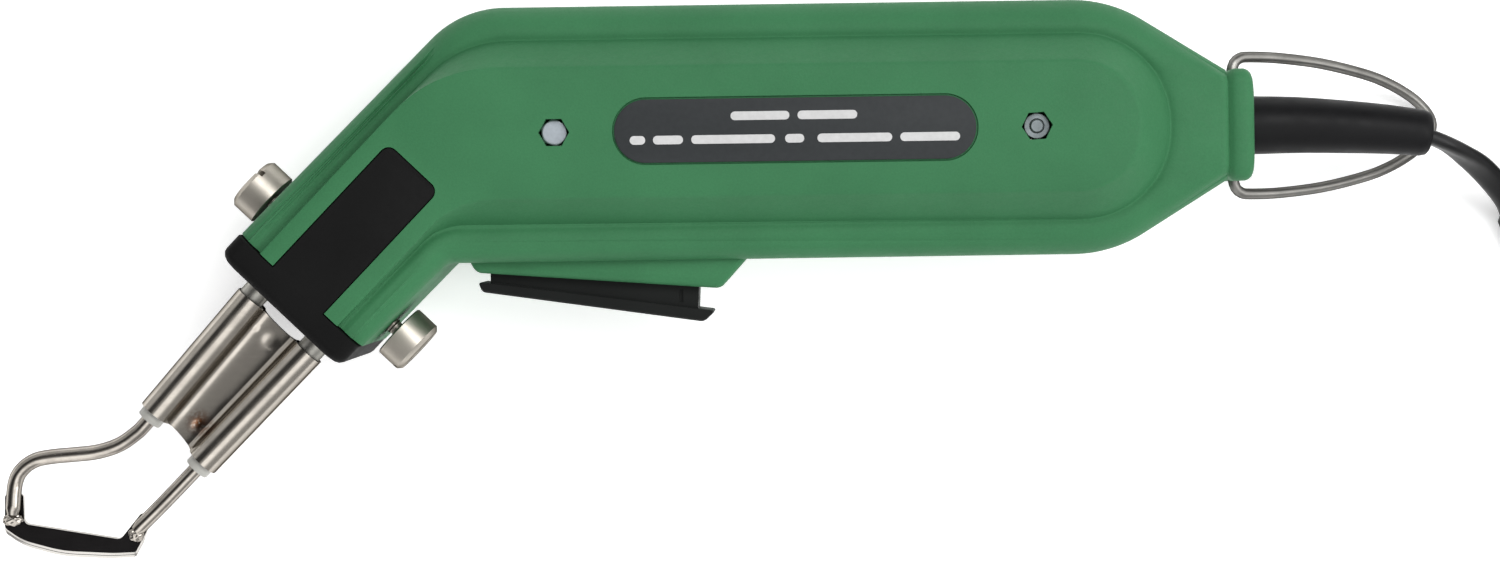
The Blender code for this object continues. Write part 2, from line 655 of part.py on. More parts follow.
def transformer():
    core = box("transformer_core", (-48, -21, MID - 12), (36, 21, MID + 12), "dark_steel")
    bevel(core, 0.6, 1)
    for side in (-1, 1):
        low, high = sorted((side * 7.0, side * 14.0))
        boolean(core, box(f"window_{side}", (-41, low, MID - 20), (29, high, MID + 20)))
    coil = box("primary_coil", (-28, -13.7, MID - 19.5), (28.6, 13.7, MID + 19.5), "varnish")
    bevel(coil, 3.0)
    boolean(coil, box("coil_bore", (-40, -7.3, MID - 12.3), (40, 7.3, MID + 12.3)))

    high, low = MID + 15.0, MID - 15.0
    route = [in_neck(29, -PIN_T), in_neck(18, -PIN_T), in_neck(6, -PIN_T), (-86, 11, 27),
             (-70, 12.5, 34), (-54, 11, high), (-40, 10.5, high), (-35.5, 10.5, high - 4),
             (-35.5, 10.5, MID), (-35.5, 10.4, low + 4), (-35.5, 6.5, low), (-35.5, -6.5, low),
             (-35.5, -10.4, low + 4), (-35.5, -10.5, MID), (-35.5, -10.5, high - 4),
             (-40, -10.5, high), (-54, -11, high), (-70, -11, 34), (-84, -10.6, 27),
             in_neck(14, PIN_T), in_neck(20, PIN_T), in_neck(29, PIN_T)]
    wire("secondary_winding", smooth_line(route, 5.0), 2.0, "copper", 1)

    wire("live_lead", smooth_line([(84.2, 2.0, MID), (74, 11, MID), (58, 21.0, MID),
                                   (42, 23.4, MID), (-36, 23.4, MID), (-46, 23.2, MID),
                                   (-51.2, 20, MID), (-51.8, 12, MID), (-53, -12, MID),
                                   (-54, -16.6, MID)], 7.0), 0.9, "brown_wire", 1)
    wire("neutral_lead", smooth_line([(84.2, -2.0, MID), (72, -8, 29), (52, -10, 38),
                                      (40, -10.5, 40.6), (34, -10.5, 41), (29, -10.5, 41)], 6.0),
         0.9, "blue_wire", 1)
    wire("switch_lead", smooth_line([(-62, -15.9, MID), (-60, -12.6, 18), (-54, -9.5, 9),
                                     (-44, -8.4, 5.4), (-35, -7.5, 5.0), (-28.5, -6.5, 6.8)], 5.0),
         0.8, "brown_wire", 1)


# ---------------------------------------------------------------- bail, cord and plug

def bail():
    """A bent wire loop, drawn level and then turned down onto the table."""
    half, tip = BAIL_HALF, BAIL_LENGTH
    upper = [(0, 10.2), (0, half - 3.4), (0.7, half - 1.4), (2.2, half - 0.3), (4.6, half),
             (12.8, half - 0.2), (24.6, 14.2), (36.6, 11.8), (43.4, 9.6), (49.0, 6.9),
             (52.4, 4.5), (54.7, 2.0)]
    route = upper + [(tip, 0)] + [(x, -y) for x, y in reversed(upper)]
    loop = wire("bail", smooth_line([(x, y, 0) for x, y in route], 3.4), BAIL_RADIUS, "steel", 2)
    loop.location = at(BAIL_PIVOT_X, 0, MID)
    loop.rotation_euler = (0, BAIL_DROP, 0)


def strain_relief():
    route = [(85.2, 0, MID), (90.6, 0, MID), (90.8, 0, MID), (94.2, 0, MID), (104, -0.1, MID),
             (114, -0.6, MID), (124, -1.3, MID - 0.2), (132.2, -2.2, MID - 0.6),
             (133.8, -2.4, MID - 0.7)]
    wire("strain_relief", route, [8.3, 8.3, 6.6, 6.6, 6.35, 6.1, 5.7, 5.25, 4.6], "black_rubber", 3)


CORD_ROUTE = [(135.1, -3.5, 24.0), (137.8, -4.6, 23.1), (141.0, -6.2, 21.2), (146.9, -9.8, 16.0),
              (152.0, -14.1, 10.9), (155.6, -18.1, 7.2), (157.2, -21.6, 5.0), (157.8, -25.0, 4.2)]
TAIL_ROUTE = [(246.4, 12.6, 9.4), (242.0, 21.0, 8.4), (234.8, 30.4, 7.3), (225.6, 39.4, 6.85),
              (215.0, 46.0, 6.85), (206.0, 48.6, 6.85), (198.0, 49.0, 6.85)]


def cord():
    wire("mains_cord", smooth_line(CORD_ROUTE, 4.0), CORD_THICK / 2, "black_rubber", 2)
    wire("cord_tail", smooth_line(TAIL_ROUTE, 6.0), CORD_THICK / 2, "black_rubber", 2)
    low, high = CORD_LIFT, CORD_LIFT + 2 * CORD_WIDTH + 0.4
    inner, outer = COIL_INNER - CORD_THICK / 2, COIL_OUTER + CORD_THICK / 2
    profile = [(inner, high - 1.5), (inner + 1.5, high), (outer - 1.5, high), (outer, high - 1.5),
               (outer, low + 1.5), (outer - 1.5, low), (inner + 1.5, low), (inner, low + 1.5),
               (inner, high - 1.5)]
    x, y = COIL_CENTRE
    turned("cord_coil", profile, (x, y, 0), (x, y, 1), "black_rubber", 28)
    near, far = y - inner + 0.6, y - outer - GAP  # the ring curves inwards beside the tie's middle
    tie = box("cord_tie", (x - 3.5, far - 0.65, low - 0.95), (x + 3.5, near + 0.65, high + 0.95),
              "black_plastic")
    bevel(tie, 0.4, 1)
    boolean(tie, box("tie_bore", (x - 9, far, low - GAP), (x + 9, near, high + GAP)))


def plug():
    """A flat two-pin plug on its broad side; its pins point along -X."""
    x, y = PLUG_REAR
    z = PLUG_HALF[1] + 0.02
    sections = [(0.0, 0.30, 0.62), (4.0, 0.36, 0.72), (11.0, 0.62, 0.92), (18.0, 0.93, 1.0),
                (24.0, 1.0, 1.0), (PLUG_LENGTH, 0.97, 0.94)]
    rings = []
    for distance, wide, thick in sections:
        ring = []
        for k in range(20):
            angle = 2 * math.pi * k / 20
            c, n = math.cos(angle), math.sin(angle)
            ring.append((x - distance, y + PLUG_HALF[0] * wide * math.copysign(abs(c) ** 0.6, c),
                         z + PLUG_HALF[1] * thick * math.copysign(abs(n) ** 0.6, n)))
        rings.append(ring)
    loft("plug_body", rings, "black_rubber")
    radius, length, offset = PLUG_PIN
    front = x - PLUG_LENGTH - GAP
    for name, side in (("plug_pin_a", 1), ("plug_pin_b", -1)):
        pin = cylinder(name, (front, y + side * offset, z), (front - length, y + side * offset, z),
                       radius, "nickel", 16)
        bevel(pin, 0.8, 1, 60)


clear_scene()
MODEL = new_collection("hot_wire_cutter")
TOOLS = new_collection("cutters")
housing_shell("lower_shell", -1)
housing_shell("upper_shell", 1)
housing_fasteners()
label()
nose_insulator()
terminals()
blade_unit()
trigger_parts()
transformer()
bail()
strain_relief()
cord()
plug()
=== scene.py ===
import json
from math import asin, copysign, cos, exp, hypot, pi, radians, sin, sqrt, tan

import bmesh
import bpy
import numpy as np
from mathutils import Matrix, Vector, noise
from mathutils.geometry import delaunay_2d_cdt

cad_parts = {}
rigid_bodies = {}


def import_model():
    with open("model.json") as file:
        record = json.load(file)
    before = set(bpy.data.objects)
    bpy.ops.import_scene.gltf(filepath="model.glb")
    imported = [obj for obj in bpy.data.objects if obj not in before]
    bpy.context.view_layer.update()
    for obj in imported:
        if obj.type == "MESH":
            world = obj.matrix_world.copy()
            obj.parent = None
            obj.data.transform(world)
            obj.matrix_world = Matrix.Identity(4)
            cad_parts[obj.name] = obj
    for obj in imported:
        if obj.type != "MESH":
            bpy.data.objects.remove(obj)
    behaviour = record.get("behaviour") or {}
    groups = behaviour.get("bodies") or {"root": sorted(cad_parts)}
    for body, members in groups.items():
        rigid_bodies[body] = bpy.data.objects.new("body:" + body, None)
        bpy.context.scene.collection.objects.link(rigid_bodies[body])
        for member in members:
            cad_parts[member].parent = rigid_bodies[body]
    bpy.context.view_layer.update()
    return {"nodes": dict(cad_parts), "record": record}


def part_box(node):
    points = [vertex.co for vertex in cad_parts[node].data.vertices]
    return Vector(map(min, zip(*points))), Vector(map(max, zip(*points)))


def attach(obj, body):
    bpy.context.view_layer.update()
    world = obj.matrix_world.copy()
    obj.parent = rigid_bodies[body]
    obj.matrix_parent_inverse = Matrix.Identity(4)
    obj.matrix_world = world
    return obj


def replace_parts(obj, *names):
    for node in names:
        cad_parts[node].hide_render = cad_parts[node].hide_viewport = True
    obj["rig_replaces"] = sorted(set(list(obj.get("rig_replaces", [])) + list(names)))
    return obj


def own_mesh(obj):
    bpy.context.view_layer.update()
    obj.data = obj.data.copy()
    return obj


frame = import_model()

# The looks of an electric hot knife that lies on its side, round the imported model's frame: +X is the
# cord end, +Y the tool's back, +Z the side that faces up. Lengths are in millimetres, and at() turns
# them into metres. Places in the bent neck are (s, t, z): along the neck, across it and up.

MM = 0.001
SCENE = bpy.context.scene
GAP = 0.3

# ---- driving dimensions

MID = (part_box("upper_shell")[0].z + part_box("lower_shell")[1].z) / 2 / MM
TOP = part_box("nose_insulator")[1].z / MM
BODY_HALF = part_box("upper_shell")[1].y / MM
RIM_HEIGHT = 16.0  # from the parting plane to the top of the rounded rim
RIM_WIDTH = 8.0
RIM_FALL = 0.018  # how fast the rim falls towards the crease, per millimetre squared
REAR_ROUND = 2.2
CREASE = (0.4, 0.8)  # depth and width of the groove round the raised field
FIELD_SINK = 0.7  # the raised field's slope starts this far under the rim's top
CREASE_HALF = 20.9
CREASE_END = 73.4
FIELD_HALF = 14.25
FIELD_END = 65.9
WALL = 2.7
SEAM = 0.06  # half of the gap between the two halves of the housing
SHOULDER = (60.5, 30.0)  # where the rear taper starts, and the radius of its corner
REAR = (86.8, 12.5)  # end of the taper, and half of its width there
REAR_EDGE = 11.0  # half of the length of the rounded edge over the collar
NECK_ORIGIN = (-87.4, -0.3)
NECK_ANGLE = radians(226)
NECK_WAY = (cos(NECK_ANGLE), sin(NECK_ANGLE))
NECK_HALF = 18.4
NECK_TIP = 18.1
NECK_CREASE = 12.6
NECK_FIELD = 11.6
NECK_END = 46.5
NECK_RISE = 23.6  # height of the neck's sides where they meet the nose
NOSE_END = 53.2
TONGUE_START = 9.7
TONGUE_HALF = 7.5
TONGUE_THICK = 2.8
PIN_T = 8.95
PIN_START = 32
PIN_RADIUS = 3.1
ROD_RADIUS = 1.7
COLLAR = (84.0, 92.8, 12.6, 12.6)  # from, to, half of its width, half of its height
CLAMP_S = {"upper": 38.95, "lower": 40.75}
CLAMP_HEAD = (6.6, 6.6)  # radius, height
CLAMP_SHANK = (2.0, 8.0)
CLAMP_SEAT = {"upper": 20.4, "lower": 20.5}
BOLT_X = {"front": -63.2, "rear": 43.0}
HEX_FLATS = 5.5
HEX_DEPTH = 4.2
HEX_PLAY = 0.45
SLOT_GAP = 0.22
CLAMP_HOLE, CORD_BORE, FLANGE_POCKET, BOLT_BORE, NUT_BORE = 2.6, 6.75, 8.6, 1.8, 1.56  # radii
HEAD_HEIGHT, NUT_HEIGHT = 2.0, 2.4
REAR_NUT_TURN = 3.4  # degrees
BAIL_PIVOT_X = 89.2
BAIL_HALF = 15.6
BAIL_LENGTH = 55.4
BAIL_RADIUS = 1.25
TRIGGER_PIVOT = (-76.5, -26.5)
CORD_WIDTH, CORD_THICK = 6.0, 3.8
COIL_CENTRE = (204.0, -14.0)
COIL_OUTER, COIL_INNER = 42.5, 25.7
COIL_LAYERS = (4.1, 10.3)  # heights of the two layers' middles


def at(x, y, z):
    return Vector((x, y, z)) * MM


def in_neck(s, t, z=MID):
    """A place in the neck, in the frame's axes and in millimetres."""
    c, n = NECK_WAY
    return (NECK_ORIGIN[0] + s * c - t * n, NECK_ORIGIN[1] + s * n + t * c, z)


# ---- mesh helpers

def shaded(mesh, smooth=35):
    """The mesh, smooth but for edges sharper than the given angle."""
    mesh.shade_smooth()
    mesh.set_sharp_from_angle(angle=radians(smooth))
    return mesh


def new_object(name, bm, smooth=35):
    mesh = bpy.data.meshes.new(name)
    bm.to_mesh(mesh)
    bm.free()
    made = bpy.data.objects.new(name, shaded(mesh, smooth))
    SCENE.collection.objects.link(made)
    return made


def solid(name, bm, smooth=35):
    """An object whose faces all look outwards."""
    bmesh.ops.recalc_face_normals(bm, faces=bm.faces)
    if bm.calc_volume(signed=True) < 0:
        bmesh.ops.reverse_faces(bm, faces=bm.faces)
    return new_object(name, bm, smooth)


def loft(name, rings, smooth=35, closed=False):
    """A skin through rings of equal length, with flat ends or, where closed, joined end to start."""
    bm = bmesh.new()
    loops = [[bm.verts.new(Vector(p) * MM) for p in ring] for ring in rings]
    pairs = list(zip(loops, loops[1:])) + ([(loops[-1], loops[0])] if closed else [])
    for low, high in pairs:
        for i in range(len(low)):
            j = (i + 1) % len(low)
            bm.faces.new((low[i], low[j], high[j], high[i]))
    if not closed:
        bm.faces.new(loops[0])
        bm.faces.new(loops[-1])
    return solid(name, bm, smooth)


def turned(name, profile, start, towards, steps=64):
    """A turned piece: profile is (radius, height along the axis), and its ends are closed flat."""
    start, axis = Vector(start), (Vector(towards) - Vector(start)).normalized()
    across = axis.orthogonal().normalized()
    other = axis.cross(across)
    angles = [2 * pi * k / steps for k in range(steps)]
    rings = [[start + axis * height + (across * cos(a) + other * sin(a)) * radius for a in angles]
             for radius, height in profile]
    return loft(name, rings, 30)


def circle(radius, count):
    angles = [2 * pi * k / count for k in range(count)]
    return [(radius * cos(a), radius * sin(a)) for a in angles]


def sweep(name, path, section, wide=None, scales=None, smooth=50):
    """The section drawn along the path. wide gives the direction of the section's first axis."""
    points = [Vector(p) for p in path]
    rings, across = [], None
    for i, point in enumerate(points):
        along = (points[min(i + 1, len(points) - 1)] - points[max(i - 1, 0)]).normalized()
        if wide is not None:
            across = Vector(wide[i])
        elif across is None:
            across = along.orthogonal()
        across = (across - along * across.dot(along)).normalized()
        other = along.cross(across)
        size = scales[i] if scales else 1.0
        rings.append([point + (across * a + other * b) * size for a, b in section])
    return loft(name, rings, smooth)


def smooth_line(points, spacing):
    """Points about spacing apart on a smooth curve through the given ones."""
    line = [Vector(p) for p in points]
    ends = [2 * line[0] - line[1], *line, 2 * line[-1] - line[-2]]
    made = []
    for a, b, c, d in zip(ends, ends[1:], ends[2:], ends[3:]):
        count = max(1, round((c - b).length / spacing))
        for k in range(count):
            u = k / count
            made.append(0.5 * (2 * b + (c - a) * u + (2 * a - 5 * b + 4 * c - d) * u * u
                               + (3 * b - a - 3 * c + d) * u ** 3))
    return [tuple(p) for p in made] + [tuple(line[-1])]


def box(name, low, high, place=lambda x, y, z: (x, y, z)):
    corners = [(low[0], low[1]), (high[0], low[1]), (high[0], high[1]), (low[0], high[1])]
    return loft(name, [[place(x, y, z) for x, y in corners] for z in (low[2], high[2])])


def cylinder(name, start, end, radius, steps=48):
    length = (Vector(end) - Vector(start)).length
    return turned(name, [(radius, 0), (radius, length)], start, end, steps)


def stacked(name, side, layers):
    """A solid through rings that lie at heights over the parting plane, on one side of it."""
    return loft(name, [[(x, y, MID + side * height) for x, y, *_ in ring]
                       for height, ring in layers])


def apply(piece, smooth=35):
    """Applies the modifiers of a piece and shades it again."""
    seen = piece.evaluated_get(bpy.context.evaluated_depsgraph_get())
    mesh = bpy.data.meshes.new_from_object(seen)
    piece.modifiers.clear()
    piece.data = shaded(mesh, smooth)


def join(name, tools):
    """One object from several, which are removed."""
    bm = bmesh.new()
    for tool in tools:
        bm.from_mesh(tool.data)
        bpy.data.objects.remove(tool)
    return new_object(name, bm)


def boolean(piece, tools, operation="DIFFERENCE"):
    for tool in tools:
        step = piece.modifiers.new(tool.name, "BOOLEAN")
        step.operation = operation
        step.object = tool
        step.solver = "EXACT"
    bpy.context.view_layer.update()
    apply(piece)
    for tool in tools:
        bpy.data.objects.remove(tool)


def inset(corners, distances):
    """Moves each edge of a counter-clockwise outline inwards; edge i runs from corner i to the next."""
    count = len(corners)
    lines = []
    for i in range(count):
        a, b = Vector(corners[i][:2]), Vector(corners[(i + 1) % count][:2])
        along = (b - a).normalized()
        lines.append((a + Vector((-along.y, along.x)) * distances[i], along))
    made = []
    for i in range(count):
        (p, u), (q, w) = lines[i - 1], lines[i]
        cross = u.x * w.y - u.y * w.x
        k = ((q - p).x * w.y - (q - p).y * w.x) / cross
        side = 1 if cross > 0 else -1
        less = min(distances[i - 1], distances[i])
        made.append((*(p + u * k), max(0.4, corners[i][2] - side * less)))
    return made


def rounded(corners, steps=14, z=0.0):
    """A ring of points: each corner (x, y, radius) becomes an arc."""
    ring = []
    for i, (x, y, radius) in enumerate(corners):
        corner = Vector((x, y))
        before = (Vector(corners[i - 1][:2]) - corner).normalized()
        after = (Vector(corners[(i + 1) % len(corners)][:2]) - corner).normalized()
        half = before.angle(after) / 2
        middle = (before + after).normalized() * radius / sin(half) + corner
        start = corner + before * radius / tan(half) - middle
        turn = start.angle_signed(corner + after * radius / tan(half) - middle)
        for k in range(steps + 1):
            spoke = start.copy()
            spoke.rotate(Matrix.Rotation(-turn * k / steps, 2))
            ring.append((*(middle + spoke), z))
    return ring


def rectangle(low, high, radius):
    """A ring round the rectangle between two corners."""
    (a, b), (c, d) = low, high
    return rounded([(a, b, radius), (c, b, radius), (c, d, radius), (a, d, radius)], 8)


# ---- camera, light and floor

CAMERA_DISTANCE = 724.0  # from the parting plane, straight above
CAMERA_FOOT = (-9.6, -16.0)
VIEW_WIDTH = 341.0  # seen at the parting plane
VIEW_SHIFT = (-11.08, -17.85)
CAMERA_ROLL = -0.8
SENSOR = 36.0
STRIPES_ACROSS = (-0.72, 0.69, 0.0)
STRIPES = [(0.0, 0.5), (0.12, 0.6), (0.23, 2.1), (0.42, 2.1), (0.47, 0.52), (0.53, 0.50),
           (0.59, 0.05), (0.80, 0.05), (0.90, 0.9), (1.0, 0.7)]  # place and light
HORIZON = (0.13, 0.07)  # the plain band starts at the first height and is full at the second
HORIZON_LIGHT = 1.15
ROOM_LIGHT = 0.8
FLOOR_DROP = 0.0004  # metres, so that the floor doesn't share a plane with the tool's lowest face


def make_camera():
    data = bpy.data.cameras.new("camera")
    data.sensor_width = SENSOR
    data.lens = SENSOR * CAMERA_DISTANCE / VIEW_WIDTH
    data.shift_x, data.shift_y = (shift / VIEW_WIDTH for shift in VIEW_SHIFT)
    data.clip_start, data.clip_end = 0.01, 20.0
    camera = bpy.data.objects.new("camera", data)
    camera.location = at(*CAMERA_FOOT, MID + CAMERA_DISTANCE)
    camera.rotation_euler = (0, 0, radians(CAMERA_ROLL))
    SCENE.collection.objects.link(camera)
    SCENE.camera = camera


def area_light(name, place, size, power):
    data = bpy.data.lights.new(name, "AREA")
    data.shape = "RECTANGLE"
    data.size, data.size_y = size
    data.energy = power
    light = bpy.data.objects.new(name, data)
    light.location = place
    light.rotation_euler = (-Vector(place)).to_track_quat("-Z", "Y").to_euler()
    SCENE.collection.objects.link(light)


def soft_room():
    """A white room: wide bright and dark stripes overhead, and a plain pale band at the horizon."""
    world = bpy.data.worlds.new("studio")
    SCENE.world = world
    world.use_nodes = True
    room = Nodes(world.node_tree)
    way = room.node("ShaderNodeTexCoord").outputs["Generated"]
    across = room.node("ShaderNodeVectorMath", way, STRIPES_ACROSS, operation="DOT_PRODUCT")
    stripes = room.ramp(room.share(across.outputs["Value"], -1.0, 1.0), STRIPES)
    height = room.node("ShaderNodeSeparateXYZ", way).outputs["Z"]
    light = room.mix(room.share(height, *HORIZON), stripes, (HORIZON_LIGHT,) * 3)
    background = world.node_tree.nodes["Background"]
    room.feed(light, background.inputs["Color"])
    room.feed(ROOM_LIGHT, background.inputs["Strength"])


def make_studio():
    SCENE.view_settings.view_transform = "Standard"
    soft_room()
    area_light("key", (0.35, 0.7, 1.6), (1.6, 0.7), 19)
    area_light("fill", (1.5, -0.3, 1.3), (0.8, 0.8), 7)
    bm = bmesh.new()
    bmesh.ops.create_grid(bm, x_segments=1, y_segments=1, size=4.0)
    floor = new_object("floor", bm)
    floor.location.z = -FLOOR_DROP
    floor.data.materials.append(lit_table())


def lit_table():
    """A white table top with a faint light of its own, which keeps the shadows on it pale."""
    made = bpy.data.materials.new("lit_table")
    made.use_nodes = True
    inputs = made.node_tree.nodes["Principled BSDF"].inputs
    for socket, value in (("Base Color", (0.96, 0.96, 0.96, 1)), ("Roughness", 0.9),
                          ("Emission Color", (1, 1, 1, 1)), ("Emission Strength", 0.38)):
        inputs[socket].default_value = value
    return made


# ---- materials

class Nodes:
    """Short ways to add nodes to a tree. A value is a number, a tuple or another node's output."""

    def __init__(self, tree):
        self.tree = tree

    def feed(self, value, socket):
        if isinstance(value, bpy.types.NodeSocket):
            self.tree.links.new(value, socket)
        else:
            socket.default_value = value

    def node(self, kind, *values, **settings):
        """A node whose first inputs take the values."""
        made = self.tree.nodes.new(kind)
        for key, value in settings.items():
            setattr(made, key, value)
        for value, socket in zip(values, made.inputs):
            self.feed(value, socket)
        return made

    def share(self, value, low, high):
        """How far the value is on the way from low to high, from 0 to 1."""
        return self.node("ShaderNodeMapRange", value, low, high).outputs["Result"]

    def ramp(self, value, stops):
        """A colour ramp: stops are (position, colour or grey)."""
        made = self.node("ShaderNodeValToRGB", value)
        elements = made.color_ramp.elements
        while len(elements) < len(stops):
            elements.new(0.5)
        for element, (position, colour) in zip(elements, stops):
            element.position = position
            element.color = (*(colour if isinstance(colour, tuple) else (colour,) * 3), 1)
        return made.outputs["Color"]

    def mix(self, factor, first, second, blend="MIX"):
        made = self.node("ShaderNodeMix", factor, data_type="RGBA", blend_type=blend)
        for value, socket in ((first, made.inputs[6]), (second, made.inputs[7])):
            self.feed((*value, 1) if isinstance(value, tuple) else value, socket)
        return made.outputs[2]


class Finish(Nodes):
    """A material built from nodes on one Principled shader, with the frame's own coordinates."""

    def __init__(self, name, **sockets):
        self.material = bpy.data.materials.new(name)
        self.material.use_nodes = True
        super().__init__(self.material.node_tree)
        self.shader = self.tree.nodes["Principled BSDF"]
        for socket, value in sockets.items():
            self.shader.inputs[socket.replace("_", " ")].default_value = value
        self.place = self.node("ShaderNodeTexCoord").outputs["Object"]

    def noise(self, scale, detail, stretch=(1, 1, 1), turn=0.0, rough=0.55):
        """Noise with about scale cells in a millimetre, stretched where stretch says so."""
        mapping = self.node("ShaderNodeMapping", self.place)
        mapping.inputs["Scale"].default_value = tuple(k / MM for k in stretch)
        mapping.inputs["Rotation"].default_value = (0, 0, turn)
        made = self.node("ShaderNodeTexNoise", mapping.outputs["Vector"])
        for socket, value in (("Scale", scale), ("Detail", detail), ("Roughness", rough)):
            made.inputs[socket].default_value = value
        return made.outputs["Fac"]

    def surface(self, colour, roughness, heights, depth):
        """Feeds the shader. The bump is (noise, share) pairs, depth millimetres high in all."""
        total = 0.0
        for value, share in heights:
            total = self.node("ShaderNodeMath", value, share, total,
                              operation="MULTIPLY_ADD").outputs[0]
        bump = self.node("ShaderNodeBump")
        self.feed(depth * MM, bump.inputs["Distance"])
        self.feed(total, bump.inputs["Height"])
        for value, socket in ((colour, "Base Color"), (roughness, "Roughness"),
                              (bump.outputs["Normal"], "Normal")):
            self.feed(value, self.shader.inputs[socket])
        return self.material


def shade(colour, factor):
    return tuple(min(1.0, c * factor) for c in colour)


def moulded(name, colour, roughness, grain, depth, cloud, gloss=0.5):
    """Moulded plastic: fine spark-eroded grain, and a slow cloudiness in colour and gloss."""
    made = Finish(name, Specular_IOR_Level=gloss)
    fine = made.noise(grain, 3.0)
    cells = made.noise(grain * 0.38, 2.0)
    tone = made.ramp(made.noise(0.05, 3.0),
                     [(0.3, shade(colour, 1 - cloud)), (0.7, shade(colour, 1 + cloud))])
    speck = made.ramp(fine, [(0.32, 0.82), (0.68, 1.0)])
    matt = made.ramp(cells, [(0.25, roughness - 0.07), (0.75, roughness + 0.07)])
    colour = made.mix(0.5, tone, speck, "MULTIPLY")
    return made.surface(colour, matt, [(fine, 0.6), (cells, 0.4)], depth)


def metal(name, colour, roughness, streaks, turn, stain, dark, depth=0.004):
    """Plated or bare metal: drawn or turned streaks, cloudy tarnish and, where a share is listed,
    painted shade on faces that stand upright.
    """
    side_shade = UPRIGHT_SHADE.get(name)
    tint = {"Specular_Tint": EDGE_TINT} if side_shade else {}
    made = Finish(name, Metallic=1.0, **tint)
    lines = made.noise(1.2, 5.0, streaks, turn, 0.7)
    cloud = made.noise(0.16, 5.0)
    tone = made.ramp(cloud, [(0.35, shade(colour, 1 - stain)), (0.62, colour)])
    worn = made.ramp(lines, [(0.3, dark), (0.6, 1.0)])
    result = made.mix(0.35, tone, worn, "MULTIPLY")
    if name in RUST:
        place, size, brown = RUST[name]
        away = made.node("ShaderNodeVectorMath", made.place, at(*place), operation="DISTANCE")
        near = made.share(away.outputs["Value"], size * MM, size * 0.15 * MM)
        patches = made.ramp(made.noise(1.1, 4.0), [(0.36, 0.0), (0.5, 1.0)])
        spots = made.node("ShaderNodeMath", near, patches, operation="MULTIPLY", use_clamp=True)
        result = made.mix(spots.outputs[0], result, brown)
    normal = made.node("ShaderNodeNewGeometry").outputs["Normal"]
    up = made.node("ShaderNodeSeparateXYZ", normal).outputs["Z"]
    if name in GROUND:
        result = made.mix(made.ramp(up, [(0.93, 1.0), (0.975, 0.0)]), result, GROUND[name])
    # painted shade: faces that stand upright are darkened to a share of their colour
    if side_shade:
        upright_shade_mask = made.ramp(up, [(0.05, 1.0), (0.72, 0.0)])
        result = made.mix(upright_shade_mask, result, shade(colour, side_shade))
    matt = made.ramp(cloud, [(0.3, roughness + 0.10), (0.7, roughness)])
    return made.surface(result, matt, [(lines, 1.0)], depth)


EVEN = (1, 1, 1)
MOULDED = {  # colour, roughness, cells in a millimetre, depth, cloudiness, specular level
    "shell_green": ((0.0375, 0.161, 0.0675), 0.60, 2.2, 0.045, 0.06, 0.16),
    "nose_black": ((0.0075, 0.0075, 0.0075), 0.62, 1.8, 0.02, 0.12, 0.06),
    "trigger_black": ((0.009, 0.010, 0.0095), 0.5, 1.6, 0.02, 0.15, 0.10),
    "label_grey": ((0.034, 0.037, 0.039), 0.45, 0.8, 0.004, 0.04, 0.10),
    "label_print": ((0.56, 0.56, 0.56), 0.5, 0.8, 0.004, 0.03, 0.10),
    "sleeve_ceramic": ((0.40, 0.395, 0.365), 0.45, 0.9, 0.01, 0.12),
    "sleeve_rubber": ((0.0065, 0.0065, 0.0072), 0.46, 0.7, 0.006, 0.15, 0.12),
    "cord_black": ((0.0080, 0.0080, 0.0085), 0.36, 0.9, 0.006, 0.12, 0.25),
    "tie_black": ((0.015, 0.015, 0.015), 0.35, 1.2, 0.006, 0.1),
    "plug_black": ((0.013, 0.013, 0.0135), 0.45, 1.4, 0.02, 0.12, 0.3),
    "copper_wire": ((0.42, 0.13, 0.05), 0.3, 1.1, 0.05, 0.15),
    "switch_plastic": ((0.02, 0.02, 0.022), 0.4, 1.6, 0.01, 0.1),
    "plunger_red": ((0.42, 0.03, 0.02), 0.4, 1.6, 0.01, 0.1),
    "live_brown": ((0.10, 0.035, 0.012), 0.35, 1.0, 0.005, 0.1),
    "neutral_blue": ((0.02, 0.08, 0.36), 0.35, 1.0, 0.005, 0.1),
    "switch_lead_brown": ((0.10, 0.035, 0.012), 0.35, 1, 0.005, 0.1),
}
METAL = {  # colour, roughness, how streaks are stretched and turned, stain, darkest streak and depth
    "zinc_steel": ((0.42, 0.46, 0.50), 0.40, EVEN, 0, 0.15, 0.7, 0.005),
    "zinc_dull": ((0.23, 0.26, 0.27), 0.5, EVEN, 0, 0.45, 0.5, 0.02),
    "nickel_screw": ((0.50, 0.465, 0.41), 0.38, (0.1, 0.1, 2.0), 0, 0.15, 0.8),
    "pin_steel": ((0.47, 0.46, 0.42), 0.36, (0.3, 3.0, 3.0), NECK_ANGLE, 0.25, 0.6),
    "holder_steel": ((0.53, 0.49, 0.435), 0.15, (0.12, 1.6, 1.6), NECK_ANGLE, 0.16, 0.8, 0.0012),
    "rod_nickel": ((0.52, 0.48, 0.43), 0.15, (0.3, 2.0, 2.0), NECK_ANGLE, 0.3, 0.6),
    "blade_steel": ((0.045, 0.042, 0.043), 0.2, (0.4, 3.0, 1.0), 0, 0.4, 0.5),
    "bail_steel": ((0.25, 0.245, 0.23), 0.34, (0.2, 3.0, 3.0), 0, 0.2, 0.7),
    "plug_pin": ((0.72, 0.68, 0.58), 0.22, (0.3, 2.0, 2.0), 0, 0.15, 0.7),
    "core_steel": ((0.20, 0.20, 0.21), 0.45, (0.1, 0.1, 2.0), 0, 0.4, 0.4),
    "copper_strip": ((0.80, 0.42, 0.28), 0.3, (0.3, 2, 2), 0, 0.3, 0.6),
    "terminal_brass": ((0.76, 0.58, 0.26), 0.3, (2, 0.3, 2), 0, 0.3, 0.6),
    "spring_steel": ((0.5, 0.5, 0.5), 0.28, (2, 2, 0.3), 0, 0.2, 0.6),
    "pivot_steel": ((0.55, 0.55, 0.55), 0.25, (2, 2, 0.3), 0, 0.2, 0.6),
}
EDGE_TINT = (0.15, 0.15, 0.15, 1)  # metal darkened by handling mirrors less at a flat angle
